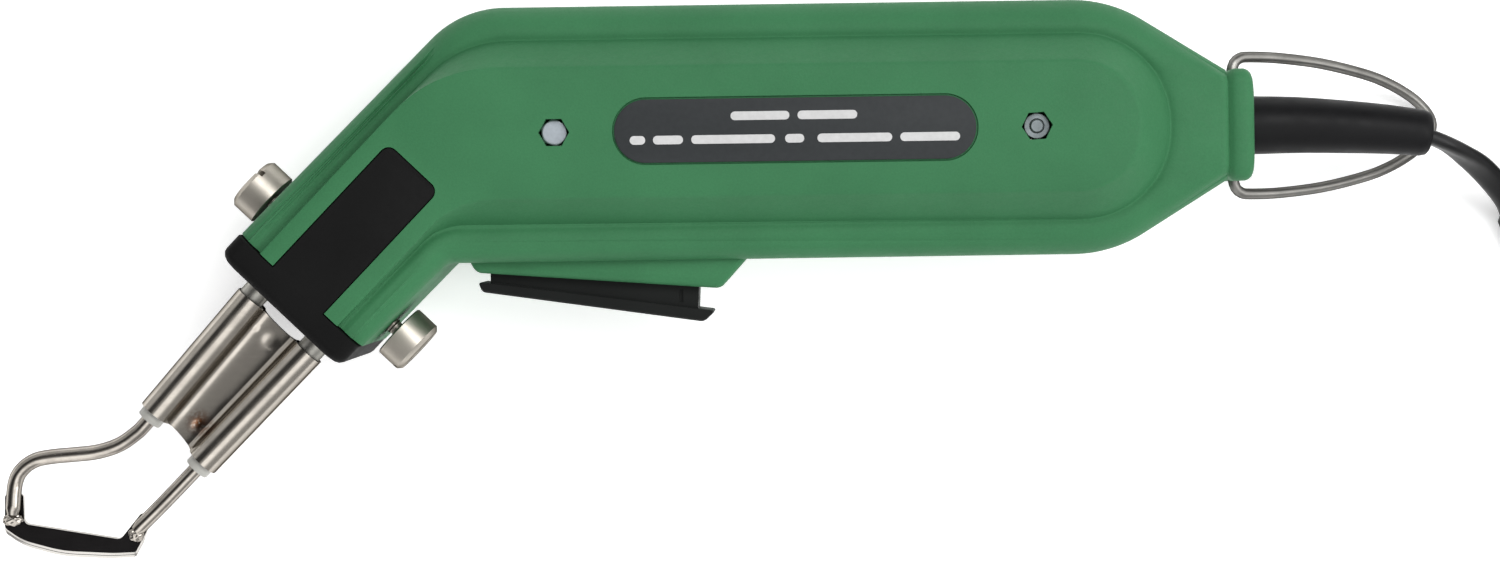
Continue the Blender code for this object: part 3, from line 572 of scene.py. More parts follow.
UPRIGHT_SHADE = {"nickel_screw": 0.6, "pin_steel": 0.4, "holder_steel": 0.3, "rod_nickel": 0.28,
         "bail_steel": 0.2}  # painted shade on faces that stand upright: the share of the colour that they keep
GROUND = {"blade_steel": (0.55, 0.53, 0.50)}  # bare colour of faces that slope, as a bevel does
RUST = {"holder_steel": (in_neck(87.0, 2.0, MID + 1), 3.6, (0.20, 0.075, 0.025))}  # place, size
FINISHES = {name: moulded(name, *row) for name, row in MOULDED.items()}
FINISHES.update({name: metal(name, *row) for name, row in METAL.items()})


SLOT_OF = {row["node"]: row["material_slot"] for row in frame["record"]["subparts"]}
BODY_OF = {node: body for body, nodes in frame["record"]["behaviour"]["bodies"].items()
           for node in nodes}


def place_piece(piece, *nodes):
    """The piece stands for these nodes, rides on their body and takes their finish."""
    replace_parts(piece, *nodes)
    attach(piece, BODY_OF[nodes[0]])
    dress(piece, SLOT_OF[nodes[0]])
    return piece


def dress(piece, slot):
    piece.data.materials.clear()
    piece.data.materials.append(FINISHES[slot])


# ---- mains cord

CORD_ROUTE = [(135.1, -3.5, 24.0), (137.8, -4.6, 23.1), (141.0, -6.2, 21.2), (146.9, -9.8, 16.0),
              (152.0, -14.1, 10.9), (155.6, -18.1, 7.2), (157.2, -21.6, 5.0), (157.8, -25.0, 4.2)]
TAIL_ROUTE = [(246.4, 12.6, 9.4), (242.0, 21.0, 8.4), (234.8, 30.4, 7.3), (225.6, 39.4, 6.85),
              (215.0, 46.0, 6.85), (206.0, 48.6, 6.85), (198.0, 49.0, 6.85)]
COIL_START, COIL_TURNS = 205.0, 8.5


def ease(share):
    share = min(1.0, max(0.0, share))
    return share * share * (3.0 - 2.0 * share)


def coil_points():
    """The cord's middle line in the coil: one layer winds inwards, the other back out on top."""
    points = []
    low, high = COIL_LAYERS
    count = int(COIL_TURNS * 72)
    for k in range(count + 1):
        share = k / count
        angle = radians(COIL_START + 360 * COIL_TURNS * share)
        radius = COIL_INNER + (COIL_OUTER - COIL_INNER) * abs(1 - 2 * share)
        points.append((COIL_CENTRE[0] + radius * cos(angle), COIL_CENTRE[1] + radius * sin(angle),
                       low + (high - low) * ease((share - 0.5) * COIL_TURNS / 0.22 + 0.5)))
    return points


def squarish(value, power):
    return copysign(abs(value) ** power, value)


def cord_section():
    """A flat twin-core cord: two round edges and a slight waist between them."""
    ring = []
    for k in range(24):
        angle = 2 * pi * (k + 0.5) / 24
        waist = 1 - 0.10 * exp(-(2.2 * cos(angle)) ** 2)
        ring.append((squarish(cos(angle), 0.75) * CORD_WIDTH / 2,
                     squarish(sin(angle), 0.85) * CORD_THICK / 2 * waist))
    return ring


def mains_cord():
    """The cord leaves the sleeve on edge, lies down flat and stands on edge again in the coil."""
    lead = [(132.5, -2.6, 24.4)] + CORD_ROUTE
    start = smooth_line(lead + coil_points()[3:40:12], 2.0)
    route = start + coil_points()[40:] + smooth_line([coil_points()[-1]] + TAIL_ROUTE, 2.0)[1:]
    wide, length = [], 0.0
    for i, point in enumerate(route):
        here = Vector(point)
        length += (here - Vector(route[i - 1])).length if i else 0.0
        flat = 1.3 * ease((length - 3.0) / 25.0) * (1.0 - ease((length - 60.0) / 40.0))
        along = (Vector(route[min(i + 1, len(route) - 1)]) - Vector(route[max(i - 1, 0)])).normalized()
        side = along.cross(Vector((0, 0, 1)))
        wide.append(Vector((0, 0, 1)) * cos(flat) - side * sin(flat))
    piece = sweep("flat_mains_cord", route, cord_section(), wide=wide)
    place_piece(piece, "mains_cord", "cord_coil", "cord_tail")
    return piece, [tuple(at(*p)) for p in route]


# ---- housing

def bend(y, t, radius):
    """The corner where the line at height y meets the neck's line at t."""
    c, n = NECK_WAY
    s = (y - NECK_ORIGIN[1] - t * c) / n
    return (*in_neck(s, t)[:2], radius)


def rim_outline(rear, beyond):
    """The housing's outline; the taper runs on to rear, and the neck on beyond its end."""
    slope = (BODY_HALF - REAR[1]) / (REAR[0] - SHOULDER[0])
    half = REAR[1] - slope * (rear - REAR[0])
    return [
        (rear, half, 1.0),
        (SHOULDER[0], BODY_HALF, SHOULDER[1]),
        bend(BODY_HALF, -NECK_HALF, 23.0),
        (*in_neck(NECK_END + beyond, -NECK_TIP)[:2], 0.6),
        (*in_neck(NECK_END + beyond, NECK_TIP)[:2], 0.6),
        bend(-BODY_HALF, NECK_HALF + 0.8, 3.0),
        (SHOULDER[0], -BODY_HALF, SHOULDER[1]),
        (rear, -half, 1.0),
    ]


def raised_outline(share, beyond, grow=0.0):
    """Outline of the raised field: share 0 is the crease round it, and 1 the edge of its flat top."""
    half, neck_half, end, radius = (
        low + (high - low) * share + grow
        for low, high in ((CREASE_HALF, FIELD_HALF), (NECK_CREASE, NECK_FIELD),
                          (CREASE_END, FIELD_END), (20.2, 13.9)))
    return [
        (end, half, radius),
        bend(half, -neck_half, 25.0 + 5.0 * share + grow),
        (*in_neck(NECK_END + beyond, -neck_half)[:2], 0.5),
        (*in_neck(NECK_END + beyond, neck_half)[:2], 0.5),
        bend(-half, neck_half, 12.0 + 8.0 * share - grow),
        (end, -half, radius),
    ]


def distances(points, ring):
    """How far each point lies inside a closed ring; outside it the distance is negative."""
    a = np.array(ring)[:, :2]
    b = np.roll(a, -1, axis=0)
    along = b - a
    away = points[:, None, :] - a
    t = np.clip((away * along).sum(2) / (along ** 2).sum(1), 0, 1)
    gap = np.sqrt(((away - t[..., None] * along) ** 2).sum(2)).min(1)
    x, y = points[:, :1], points[:, 1:]
    rise = np.where(np.abs(along[:, 1]) < 1e-9, 1e-9, along[:, 1])
    hits = ((a[:, 1] > y) != (b[:, 1] > y)) & (x < a[:, 0] + along[:, 0] * (y - a[:, 1]) / rise)
    return np.where(hits.sum(1) % 2 == 1, gap, -gap)


def softer(low, high, width):
    """The lower of two heights, with the corner between them rounded over width."""
    blend = np.maximum(width - np.abs(low - high), 0.0)
    return np.minimum(low, high) - blend ** 2 / (4 * width)


def outer_height(points):
    """Height of the housing's outside over the parting plane at each point."""
    rim = np.clip(distances(points, rounded(rim_outline(REAR[0] + 8, 16))), 0.0, None)
    along = (points - np.array(NECK_ORIGIN)) @ np.array(NECK_WAY)
    neck = np.clip((along - 2.0) / (NECK_END - 2.0), 0.0, 1.0)
    height = RIM_HEIGHT + (NECK_RISE - RIM_HEIGHT) * neck
    inward = np.clip(1 - rim / (RIM_WIDTH - 5.0 * np.sqrt(neck)), 0.0, 1.0)
    low = height - (RIM_HEIGHT / 2 - 5.0 * neck) * (1 - np.sqrt(1 - inward ** 2))
    low = low - RIM_FALL * (1 - 0.6 * neck) * np.clip(rim - 3.0, 0.0, 6.0) ** 2
    rear = np.clip(points[:, 0] - (REAR[0] - REAR_ROUND), 0.0, REAR_ROUND)
    low = low - (REAR_ROUND - np.sqrt(np.clip(REAR_ROUND ** 2 - rear ** 2, 0.0, None)))
    crease = distances(points, rounded(raised_outline(0.0, 16)))
    field = distances(points, rounded(raised_outline(1.0, 16)))
    share = crease / np.maximum(crease - field, 0.3)
    foot = RIM_HEIGHT - FIELD_SINK
    high = foot + (MID - foot) * share
    high = softer(high, np.full_like(high, TOP - MID), 0.7)
    depth, width = CREASE
    return -softer(-low, -high, 0.4) - depth * np.exp(-(crease / width) ** 2)


CREASE_RINGS = (2.9, 2.0, 1.3, 0.7, 0.3, 0.12)  # how far outside the crease the skin has rings
SLOPE_RINGS = (0.0, 0.025, 0.06, 0.12, 0.2, 0.35, 0.5, 0.65, 0.8, 0.88, 0.94, 1.0)


def outer_skin(name, side):
    """A closed solid under the housing's outside, from the parting plane to the skin."""
    outline = rim_outline(REAR[0] + 4, 8)
    rings = []
    for k in range(7):
        depth = RIM_WIDTH * (1 - cos(pi / 2 * k / 10))
        rings.append(rounded(inset(outline, [depth] * 3 + [-depth * 0.01 + 0.01 * k] + [depth] * 3
                                   + [0.02 * k])))
    field = [(0.0, k) for k in CREASE_RINGS] + [(k, 0.0) for k in SLOPE_RINGS] + [(1.0, -0.5)]
    rings += [rounded(raised_outline(share, 4, grow)) for share, grow in field]
    points, edges = [], []
    for ring in rings:
        first = len(points)
        points += [Vector(p[:2]) for p in ring]
        edges += [(first + i, first + (i + 1) % len(ring)) for i in range(len(ring))]
    for less in (2.4, 1.8, 1.2, 0.7, 0.3, 0.0):
        x, first = REAR[0] - less, len(points)
        points += [Vector((x, -REAR_EDGE)), Vector((x, REAR_EDGE))]
        edges.append((first, first + 1))
    flat, _, faces, *_ = delaunay_2d_cdt(points, edges, [list(range(len(rings[0])))], 1, 1e-5)
    xy = np.array([tuple(p) for p in flat])
    bm = bmesh.new()
    top = [bm.verts.new(at(x, y, MID + side * h)) for (x, y), h in zip(xy, outer_height(xy))]
    base = [bm.verts.new(at(x, y, MID + side * SEAM)) for x, y in xy]
    for face in faces:
        bm.faces.new([top[i] for i in face])
        bm.faces.new([base[i] for i in reversed(face)])
    ways = [way for face in faces for way in zip(face, (*face[1:], face[0]))]
    known = set(ways)
    for i, j in ways:
        if (j, i) not in known:
            bm.faces.new((top[j], top[i], base[i], base[j]))
    return solid(name, bm, 28)


def collar_solid(side):
    """The raised ring that holds the strain relief, with the groove that the bail's ends go into."""
    start, end, half, tall = COLLAR
    rings = []
    for x, less in ((start, 0.9), (start + 2.2, 0.9), (start + 3.0, 0.7), (start + 3.7, 0.25),
                    (start + 4.5, 0.0), (end - 2.2, 0.0), (end - 1.4, 0.3), (end - 0.7, 0.9),
                    (end - 0.25, 1.7), (end, 2.8)):
        y, z = half - less, tall - less
        rings.append([(x, a, MID + b) for a, b, _ in rectangle((-y, -z), (y, z), 3.2)])
    piece = loft(f"collar_{side}", rings)
    low, high = sorted((MID + side * SEAM, MID - side * 30))
    boolean(piece, [box("other_half", (start - 5, -40, low), (end + 5, 40, high))])
    return piece


BOSS = [(-87.0, -22.5, 0.5), (-82.1, -30.9, 2.4), (-79.9, -31.05, 0.5), (-32.3, -34.7, 0.5),
        (-27.3, -35.1, 2.6), (-21.3, -28.5, 3.0), (-16.5, -22.5, 0.5)]
BOSS_HALF = 11.2


def boss_solid(side):
    """The web over the trigger, with a rounded upper edge."""
    layers = []
    for height, less in ((SEAM, 0.0), (BOSS_HALF - 1.6, 0.0), (BOSS_HALF - 0.9, 0.22),
                         (BOSS_HALF - 0.35, 0.75), (BOSS_HALF, 1.7)):
        outline = [(x, y + less * (1 if y < -25 else 0), r) for x, y, r in BOSS]
        layers.append((height, rounded(outline, 8)))
    return stacked(f"boss_{side}", side, layers)


def cavity(side):
    """The hollow inside one half, WALL inside the skin."""
    low = []
    for height, less in ((-1.0, WALL), (9.0, WALL), (RIM_HEIGHT - WALL, WALL + 5.0)):
        outline = inset(rim_outline(REAR[0], 0), [less] * 3 + [6] + [less] * 3 + [WALL])
        low.append((height, rounded(outline, 6)))
    high = [(height, rounded(raised_outline(share, -6, -WALL), 6))
            for height, share in ((8.0, 0.0), (RIM_HEIGHT - 1.5, 0.0), (MID - WALL - 0.6, 1.0))]
    return [stacked(f"rim_hollow_{side}", side, low), stacked(f"field_hollow_{side}", side, high)]


def hex_prism(name, x, low, high, flats, turn):
    radius = flats / 2 / cos(pi / 6)
    corners = [radians(60 * k + turn) for k in range(6)]
    return loft(name, [[(x + radius * cos(a), radius * sin(a), z) for a in corners]
                       for z in (low, high)])


LABEL = (-49.9, 29.6, 6.95)


def stadium(start, end, half, z=0.0, steps=16):
    radius = half - 0.05
    return rounded([(start, half, radius), (start, -half, radius), (end, -half, radius),
                    (end, half, radius)], steps, z)


def housing_half(where, side):
    """One half of the housing with its real openings cut through the wall."""
    def z(height):
        return MID + side * height

    shell = outer_skin(f"{where}_housing", side)
    boolean(shell, [
        box("rear_cut", (REAR[0], -40, -5), (REAR[0] + 30, 40, 2 * MID + 5)),
        box("neck_cut", (NECK_END, -40, -5), (NECK_END + 40, 40, 2 * MID + 5), in_neck)])
    boolean(shell, [collar_solid(side), boss_solid(side)], "UNION")
    boolean(shell, cavity(side))
    slot = sorted((z(-1.0), z(7.3)))
    tongue = sorted((z(MID - TONGUE_THICK - GAP), z(MID + 1)))
    ring = tongue_outline(SLOT_GAP, NECK_END + 2, 2.3)
    tools = [
        box("trigger_slot", (-80.2, -40, slot[0]), (-31.2, -23.6, slot[1])),
        loft("tongue_slot", [[in_neck(s, t, height) for s, t, _ in ring] for height in tongue]),
        *(cylinder(f"{screw}_clamp_hole", in_neck(s, way * 10), in_neck(s, way * 24), CLAMP_HOLE)
          for (screw, s), way in zip(CLAMP_S.items(), (-1, 1))),
        cylinder("bail_hole", (BAIL_PIVOT_X, -20, MID), (BAIL_PIVOT_X, 20, MID), BAIL_RADIUS + GAP),
        cylinder("cord_bore", (80, 0, MID), (99, 0, MID), CORD_BORE),
        cylinder("flange_pocket", (80, 0, MID), (91.0, 0, MID), FLANGE_POCKET),
    ]
    for bolt, turn in (("front", 0.0), ("rear", REAR_NUT_TURN)):
        x = BOLT_X[bolt]
        tools.append(hex_prism(f"{bolt}_pocket", x, *sorted((z(MID - HEX_DEPTH), z(MID + 1))),
                               HEX_FLATS + HEX_PLAY, turn))
        tools.append(cylinder(f"{bolt}_bore", (x, 0, z(MID + 2)), (x, 0, z(10)), BOLT_BORE))
    if side > 0:
        start, end, half = LABEL
        rings = [stadium(start - grow, end + grow, half + grow, height)
                 for height, grow in ((2 * MID - 0.55, 0.3), (2 * MID + 0.02, 0.5), (2 * MID + 1, 0.5))]
        tools.append(loft("label_recess", rings))
    boolean(shell, tools)
    apply(shell, 28)
    place_piece(shell, f"{where}_shell")


# ---- fasteners and label

def hex_part(name, x, base, height, side, turn, bore=None):
    """A hexagon head or nut with its corners turned off, standing side-wards on base."""
    angles = [2 * pi * k / 72 for k in range(72)]
    edge = HEX_FLATS / 2 * 0.97
    full = [HEX_FLATS / 2 / cos((a + pi / 6) % (pi / 3) - pi / 6) for a in angles]

    def flat(radius, level):
        return [radius] * 72, [level] * 72

    layers = [(full, [0.0] * 72)]
    for radii in (full, [(r + edge) / 2 for r in full], [edge] * 72):
        layers.append((radii, [height - max(0.0, r - edge) * 0.62 for r in radii]))
    layers.append(flat(edge * 0.9, height))
    if bore is not None:
        layers = [flat(bore, 0.0), *layers, flat(bore + 0.12, height), flat(bore, height - 0.12)]
    by = radians(turn)
    return loft(name, [[(x + r * cos(a + by), r * sin(a + by), base + side * z)
                        for a, r, z in zip(angles, radii, levels)] for radii, levels in layers],
                20, closed=bore is not None)


def threaded(radius, start, end, pitch=0.5, depth=0.22):
    """A profile for turned(): a row of thread crests between two heights."""
    profile, height = [(radius - depth * 1.4, start)], start
    while height < end - pitch:
        profile += [(radius - depth, height + pitch * 0.2), (radius, height + pitch * 0.5),
                    (radius - depth, height + pitch * 0.8)]
        height += pitch
    return profile + [(radius - depth * 1.4, end)]


def fasteners():
    seat = MID - HEX_DEPTH + GAP
    for where, side, turn, nut_turn in (("front", 1, 8.0, 0.0), ("rear", -1, 0.0, REAR_NUT_TURN)):
        x = BOLT_X[where]
        head = hex_part(f"{where}_bolt_head", x, MID + side * seat, HEAD_HEIGHT, side, turn)
        thread_end = seat * 2 - 13.15
        profile = [(1.25, 0)] + threaded(1.5, 0.2, thread_end)
        profile += [(1.5, thread_end + 1.05), (1.5, seat * 2 + 3.6)]
        shank = turned(f"{where}_bolt_shank", profile, (x, 0, MID - side * (seat + 2.9)),
                       (x, 0, MID + side * seat), 32)
        bolt = join(f"{where}_hex_bolt", [head, shank])
        place_piece(bolt, f"{where}_bolt")
        nut = hex_part(f"{where}_hex_nut", x, MID - side * seat, NUT_HEIGHT, -side, nut_turn,
                       NUT_BORE)
        place_piece(nut, f"{where}_nut")
        nut.data.materials[0] = FINISHES["zinc_dull"]
        bolt.data.materials[0] = FINISHES["zinc_dull" if side < 0 else "zinc_steel"]


PRINT = {3.1: [(-24.3, -11.4), (-9.6, 3.5)],
         -2.0: [(-46.5, -43.1), (-41.4, -34.8), (-33.0, -14.6), (-12.4, -8.2), (-5.3, 11.1),
                (12.9, 26.0)]}  # rows of plain bars where the real label is printed


def label():
    start, end, half = LABEL
    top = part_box("label_plate")[1].z / MM - 0.01
    place_piece(loft("label_film", [
        stadium(start + less, end - less, half - less, z)
        for z, less in ((top - 0.5, 0.0), (top - 0.12, 0.0), (top - 0.04, 0.06), (top, 0.2))]),
        "label_plate")
    for row, words in PRINT.items():
        for first, last in words:
            bar = loft("printed_bar", [[(x, y + row, z) for x, y, _ in stadium(first, last, 0.95, 0, 4)]
                                       for z in (top - 0.1, top + 0.004)])
            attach(bar, "housing")
            bar.data.materials.append(FINISHES["label_print"])


def clamp_screws():
    """Slotted cheese heads, each with its slot turned another way."""
    radius, height = CLAMP_HEAD
    shank, length = CLAMP_SHANK
    rim = length + height
    profile = threaded(shank, 0.0, length - 0.4, 0.7, 0.3) + [
        (shank - 0.25, length - 0.3), (shank - 0.25, length), (radius - 0.35, length),
        (radius, length + 0.3), (radius, rim - 0.95), (radius - 0.12, rim - 0.8),
        (radius - 0.85, rim - 0.08), (radius - 1.0, rim)]
    to_neck = Matrix.Translation(at(*NECK_ORIGIN, 0)) @ Matrix.Rotation(NECK_ANGLE, 4, "Z")
    for where, side, turn in (("upper", -1, 57.5), ("lower", 1, 160.0)):
        s, seat = CLAMP_S[where], CLAMP_SEAT[where]
        screw = turned(f"{where}_cheese_head_screw", profile, in_neck(s, side * (seat - length)),
                       in_neck(s, side * seat), 72)
        level = side * (seat + height)
        slot = box("slot", (s - 9, level - 1.7, MID - 0.65), (s + 9, level + 1.7, MID + 0.65))
        middle = Matrix.Translation(at(s, 0, MID))
        slot.data.transform(to_neck @ middle @ Matrix.Rotation(radians(turn), 4, "Y")
                            @ middle.inverted())
        boolean(screw, [slot])
        place_piece(screw, f"clamp_screw_{where}")


# ---- nose and blade unit

def tongue_outline(grow, root, radius):
    half, tip = TONGUE_HALF + grow, TONGUE_START - grow
    return rounded([(tip, -half, radius), (root, -half, 0.3), (root, half, 0.3),
                    (tip, half, radius)], 8)


def nose():
    """The block at the neck's end, its two tongues and the wall between the terminals."""
    rings = []
    for s, less in ((NECK_END + GAP, 0.12), (NECK_END + GAP + 0.15, 0.0), (NOSE_END - 2.4, 0.0),
                    (NOSE_END - 1.5, 0.2), (NOSE_END - 0.7, 0.8), (NOSE_END - 0.2, 1.6),
                    (NOSE_END, 2.4)):
        t, z = NECK_TIP - less, TOP / 2 - less
        rings.append([in_neck(s, a, MID + b) for a, b, _ in rectangle((-t, -z), (t, z), 2.9)])
    block = loft("nose_block", rings)
    root = NOSE_END - 3
    tools = [box("terminal_wall", (28, -2.4, MID - 12), (root, 2.4, MID + 12), in_neck),
             box("nose_plug", (NECK_END - 1.2, -14, MID - 9.8), (root, 14, MID + 9.8), in_neck)]
    for side in (1, -1):
        top, low = MID + side * (TOP / 2 - 0.02), MID + side * (TOP / 2 - TONGUE_THICK)
        rings = [[in_neck(s + (0.15 if s < 30 else 0) * k, t * (1 - 0.015 * k), z)
                  for s, t, _ in tongue_outline(0.0, root, 2.1)]
                 for z, k in ((low, 0), (top - side * 0.12, 0), (top, 1))]
        tools.insert(0, loft(f"tongue_{side}", rings))
    boolean(block, tools, "UNION")
    bore = [(PIN_RADIUS + 0.15, 0), (PIN_RADIUS + 0.15, NOSE_END - 40.5),
            (PIN_RADIUS + 0.75, NOSE_END - 39.9), (PIN_RADIUS + 0.75, 20)]
    boolean(block, [turned(f"bore_{t:.0f}", bore, in_neck(40, t), in_neck(60, t), 48)
                    for t in (-PIN_T, PIN_T)])
    place_piece(block, "nose_insulator")


SLEEVE_END = {"upper": (-158.0, -63.5), "lower": (-147.4, -74.8)}


def channel_line(where):
    """Start and end of a holder channel's centre line, and the way from start to end."""
    side = -1 if where == "upper" else 1
    start = Vector(in_neck(NOSE_END + 1.6, side * PIN_T)[:2])
    end = Vector(SLEEVE_END[where])
    return start, end, (end - start).normalized()


def on_channel(where, distance, z=MID):
    start, _, along = channel_line(where)
    return (*(start + along * distance), z)


ROD_ROUTES = {
    "upper": [(-161.4, -66.8, MID), (-165.2, -69.2, MID), (-170.0, -70.6, MID),
              (-175.0, -71.1, MID), (-180.0, -71.5, MID), (-184.0, -72.3, MID),
              (-187.0, -74.4, MID), (-188.6, -77.6, MID), (-189.3, -84.6, MID)],
    "lower": [(-152.0, -79.5, MID), (-156.8, -84.3, MID), (-161.3, -88.6, MID)],
}
BLADE_OUTLINE = [(-191.55, -80.0, 0.8), (-191.75, -88.9, 1.6), (-187.4, -92.0, 14.0),
                 (-178.5, -94.5, 30.0), (-168.0, -95.1, 30.0), (-161.9, -94.9, 1.2),
                 (-160.0, -91.4, 1.2), (-158.4, -86.8, 0.6), (-160.4, -84.6, 0.6),
                 (-165.2, -90.5, 1.5), (-187.0, -86.7, 1.2), (-187.2, -80.0, 0.8)]
BLADE_BEVEL = [0.1, 1.0, 1.25, 1.3, 1.2, 0.5, 0.1, 0.1, 0.1, 0.25, 0.1, 0.1]


def weld(name, place, size, seed):
    """A lumpy blob of weld metal."""
    bm = bmesh.new()
    bmesh.ops.create_icosphere(bm, subdivisions=4, radius=1.0)
    for vert in bm.verts:
        lump = 1 + 0.22 * noise.noise(vert.co * 2.3 + Vector((seed, 0, 0)))
        vert.co = at(*place) + Vector([c * k * lump * MM for c, k in zip(vert.co, size)])
    return solid(name, bm, 80)


def blade_unit():
    reach = NOSE_END - PIN_START + 6.6
    pin_profile = [(PIN_RADIUS - 0.7, 0), (PIN_RADIUS, 0.7), (PIN_RADIUS, reach - 0.35),
                   (PIN_RADIUS - 0.35, reach)]
    for where, side in (("upper", -1), ("lower", 1)):
        t = side * PIN_T
        pin = turned(f"{where}_contact_pin", pin_profile, in_neck(PIN_START, t), in_neck(60, t), 64)
        place_piece(pin, f"contact_pin_{where}")

        start, end, _ = channel_line(where)
        length = (end - start).length
        tube = turned(f"{where}_sleeve", [(2.0, 5.9), (2.75, 5.6), (2.95, 5.8), (2.95, length - 0.25),
                                          (2.8, length), (2.1, length), (1.95, length - 0.3)],
                      on_channel(where, 0), on_channel(where, length), 56)
        bore = turned("sleeve_bore", [(1.93, 2), (1.93, length + 3)], on_channel(where, 0),
                      on_channel(where, length), 56)
        boolean(tube, [bore])
        place_piece(tube, f"insulating_sleeve_{where}")

        route = smooth_line([on_channel(where, d) for d in (5.6, 20, length)] + ROD_ROUTES[where], 0.7)
        scales = [1.0] * (len(route) - 2) + [0.875, 0.75]
        rod = sweep(f"{where}_rod", route, circle(ROD_RADIUS, 28), [(0, 0, 1)] * len(route), scales)
        place_piece(rod, f"blade_rod_{where}")

    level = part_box("cutting_blade")[1].z / MM
    rings = [rounded(BLADE_OUTLINE, 10, level - 0.9), rounded(BLADE_OUTLINE, 10, level - 0.7)]
    for share, down in ((0.45, 0.42), (0.55, 0.4), (1.0, 0.0)):
        rings.append(rounded(inset(BLADE_OUTLINE, [d * share for d in BLADE_BEVEL]), 10, level - down))
    place_piece(loft("bevelled_blade", rings, 12), "cutting_blade")
    for name, place, size, seed in (("weld_left", (-189.3, -85.8, MID - 0.7), (2.2, 1.5, 1.3), 1),
                                    ("weld_right", (-161.4, -89.6, MID - 0.8), (1.7, 1.7, 1.3), 4)):
        bead = weld(name, place, size, seed)
        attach(bead, BODY_OF["cutting_blade"])
        dress(bead, "rod_nickel")


SHEET = 0.5
CHANNEL_ARC = 0.88  # share of a half turn that a channel takes up
CHANNEL_REACH = (3.65, 3.95)  # outer and inner half of a channel's width
CHANNEL_RISE = 3.8
HOLDER_START, HOLDER_REACH = 3.5, {"upper": 34.0, "lower": 34.7}
WEB_WIDTH, WEB_LENGTH = 9.0, 34
WEB_MARKS = [((0.60, 0.13), 1.6, -0.25), ((0.16, 0.125), 0.45, 0.12), ((0.66, 0.86), 1.2, -0.2)]


def sheet_point(u, v):
    """Place and height of a holder sheet: v runs along it, u over a channel, the web, a channel."""
    places = []
    for where, reach in HOLDER_REACH.items():
        way = channel_line(where)[2]
        places.append((Vector(on_channel(where, HOLDER_START + reach * v)), Vector((-way.y, way.x, 0))))
    (upper, out), (lower, out_low) = places
    outer, inner = CHANNEL_REACH
    if u <= 1.0:
        turn = pi * u * CHANNEL_ARC
        reach = outer if u < 0.5 else inner
        return upper - out * cos(turn) * reach, CHANNEL_RISE * sin(turn)
    if u >= 2.0:
        turn = pi * (1 - CHANNEL_ARC * (3 - u))
        reach = outer if u > 2.5 else inner
        return lower - out_low * cos(turn) * reach, CHANNEL_RISE * sin(turn)
    foot = inner * cos(pi * (1 - CHANNEL_ARC))
    start, end = upper + out * foot, lower - out_low * foot
    width = (end - start).length
    web = u - 1.0
    rise = exp(-width * web / 0.6) + exp(-(width - width * web) / 0.6)
    lift = CHANNEL_RISE * sin(pi * CHANNEL_ARC) * rise
    if web > 0:
        lift += 0.13 * exp(-((web - 0.90) / 0.03) ** 2)
        for spot, size, high in WEB_MARKS:
            far = hypot((web - spot[0]) * WEB_WIDTH, (v - spot[1]) * WEB_LENGTH)
            lift += high * exp(-(far / size) ** 3)
    return start.lerp(end, web), lift


def holder():
    """Two pressed sheets: a half channel over each sleeve and a flat web welded between them."""
    samples = [k / 18 for k in range(18)] + [1 + k / 40 for k in range(40)]
    samples += [2 + k / 18 for k in range(19)]
    for which, side in (("front", 1), ("back", -1)):
        bm = bmesh.new()
        grid = []
        for k in range(71):
            row = []
            for u in samples:
                inside = max(0.0, 1 - abs(2 * u - 3)) if 1 <= u <= 2 else 0.0
                bow = 0.5 / WEB_LENGTH * sqrt(max(0.0, 1 - (1 - inside) ** 2))
                place, lift = sheet_point(u, bow + k / 70 * (1 - 2 * bow))
                row.append(bm.verts.new((place + Vector((0, 0, side * (0.15 + SHEET + lift)))) * MM))
            grid.append(row)
        for a, b in zip(grid, grid[1:]):
            for i in range(len(a) - 1):
                bm.faces.new((a[i], a[i + 1], b[i + 1], b[i]))
        bmesh.ops.recalc_face_normals(bm, faces=bm.faces)
        if sum(face.normal.z for face in bm.faces) * side < 0:
            bmesh.ops.reverse_faces(bm, faces=bm.faces)
        sheet = new_object(f"{which}_holder_sheet", bm)
        skin = sheet.modifiers.new("sheet", "SOLIDIFY")
        skin.thickness = SHEET * MM
        skin.offset = -1
        apply(sheet)
        place_piece(sheet, f"holder_{which}")


# ---- trigger, bail, strain relief, plug

def trigger():
    """A rocker: a flat plate with upturned lips under a narrower web."""
    half = 8.6
    plate = [(-81.9, -33.0, 0.35), (-81.0, -35.3, 1.4), (-31.2, -42.6, 2.0), (-28.6, -40.2, 0.35)]
    piece = stacked("rocker", 1, [
        (height, rounded(inset(plate, [less * 0.4, less * 0.8, less * 0.4, 0.0]), 8))
        for height, less in ((-half, 0.45), (-half + 0.45, 0.0), (half - 0.45, 0.0), (half, 0.45))])
    web = [(-79.2, -28.4, 0.4), (-79.2, -34.4, 0.4), (-32.6, -41.0, 0.4), (-32.2, -31.6, 0.4)]
    ledge = [(-78.8, -33.0, 0.3), (-78.8, -34.8, 0.3), (-32.4, -41.4, 0.3), (-32.4, -39.7, 0.3)]
    tools = [stacked(name, 1, [(height, rounded(outline, 3)) for height in (-reach, reach)])
             for name, outline, reach in (("web", web, 7.0), ("ledge", ledge, 7.8))]
    x, y = TRIGGER_PIVOT
    tools.append(box("lug", (x - 3.0, y - 4, MID - half), (x + 3, y + 1, MID + half)))
    tools.append(cylinder("eye", (x, y, MID - half), (x, y, MID + half), 3.0, 40))
    boolean(piece, tools, "UNION")
    boolean(piece, [box("side_slot", (-36.8, -38.2, MID + 6.4), (-35.9, -35.4, MID + 9)),
                    cylinder("eye_bore", (x, y, MID - 20), (x, y, MID + 20), 1.55, 32)])
    place_piece(piece, "trigger")


SPRING_START = (-39.95, -30.15, MID)
SPRING_LENGTH, SPRING_TURNS, SPRING_RADIUS, SPRING_WIRE = 6.1, 5, 2.5, 0.34


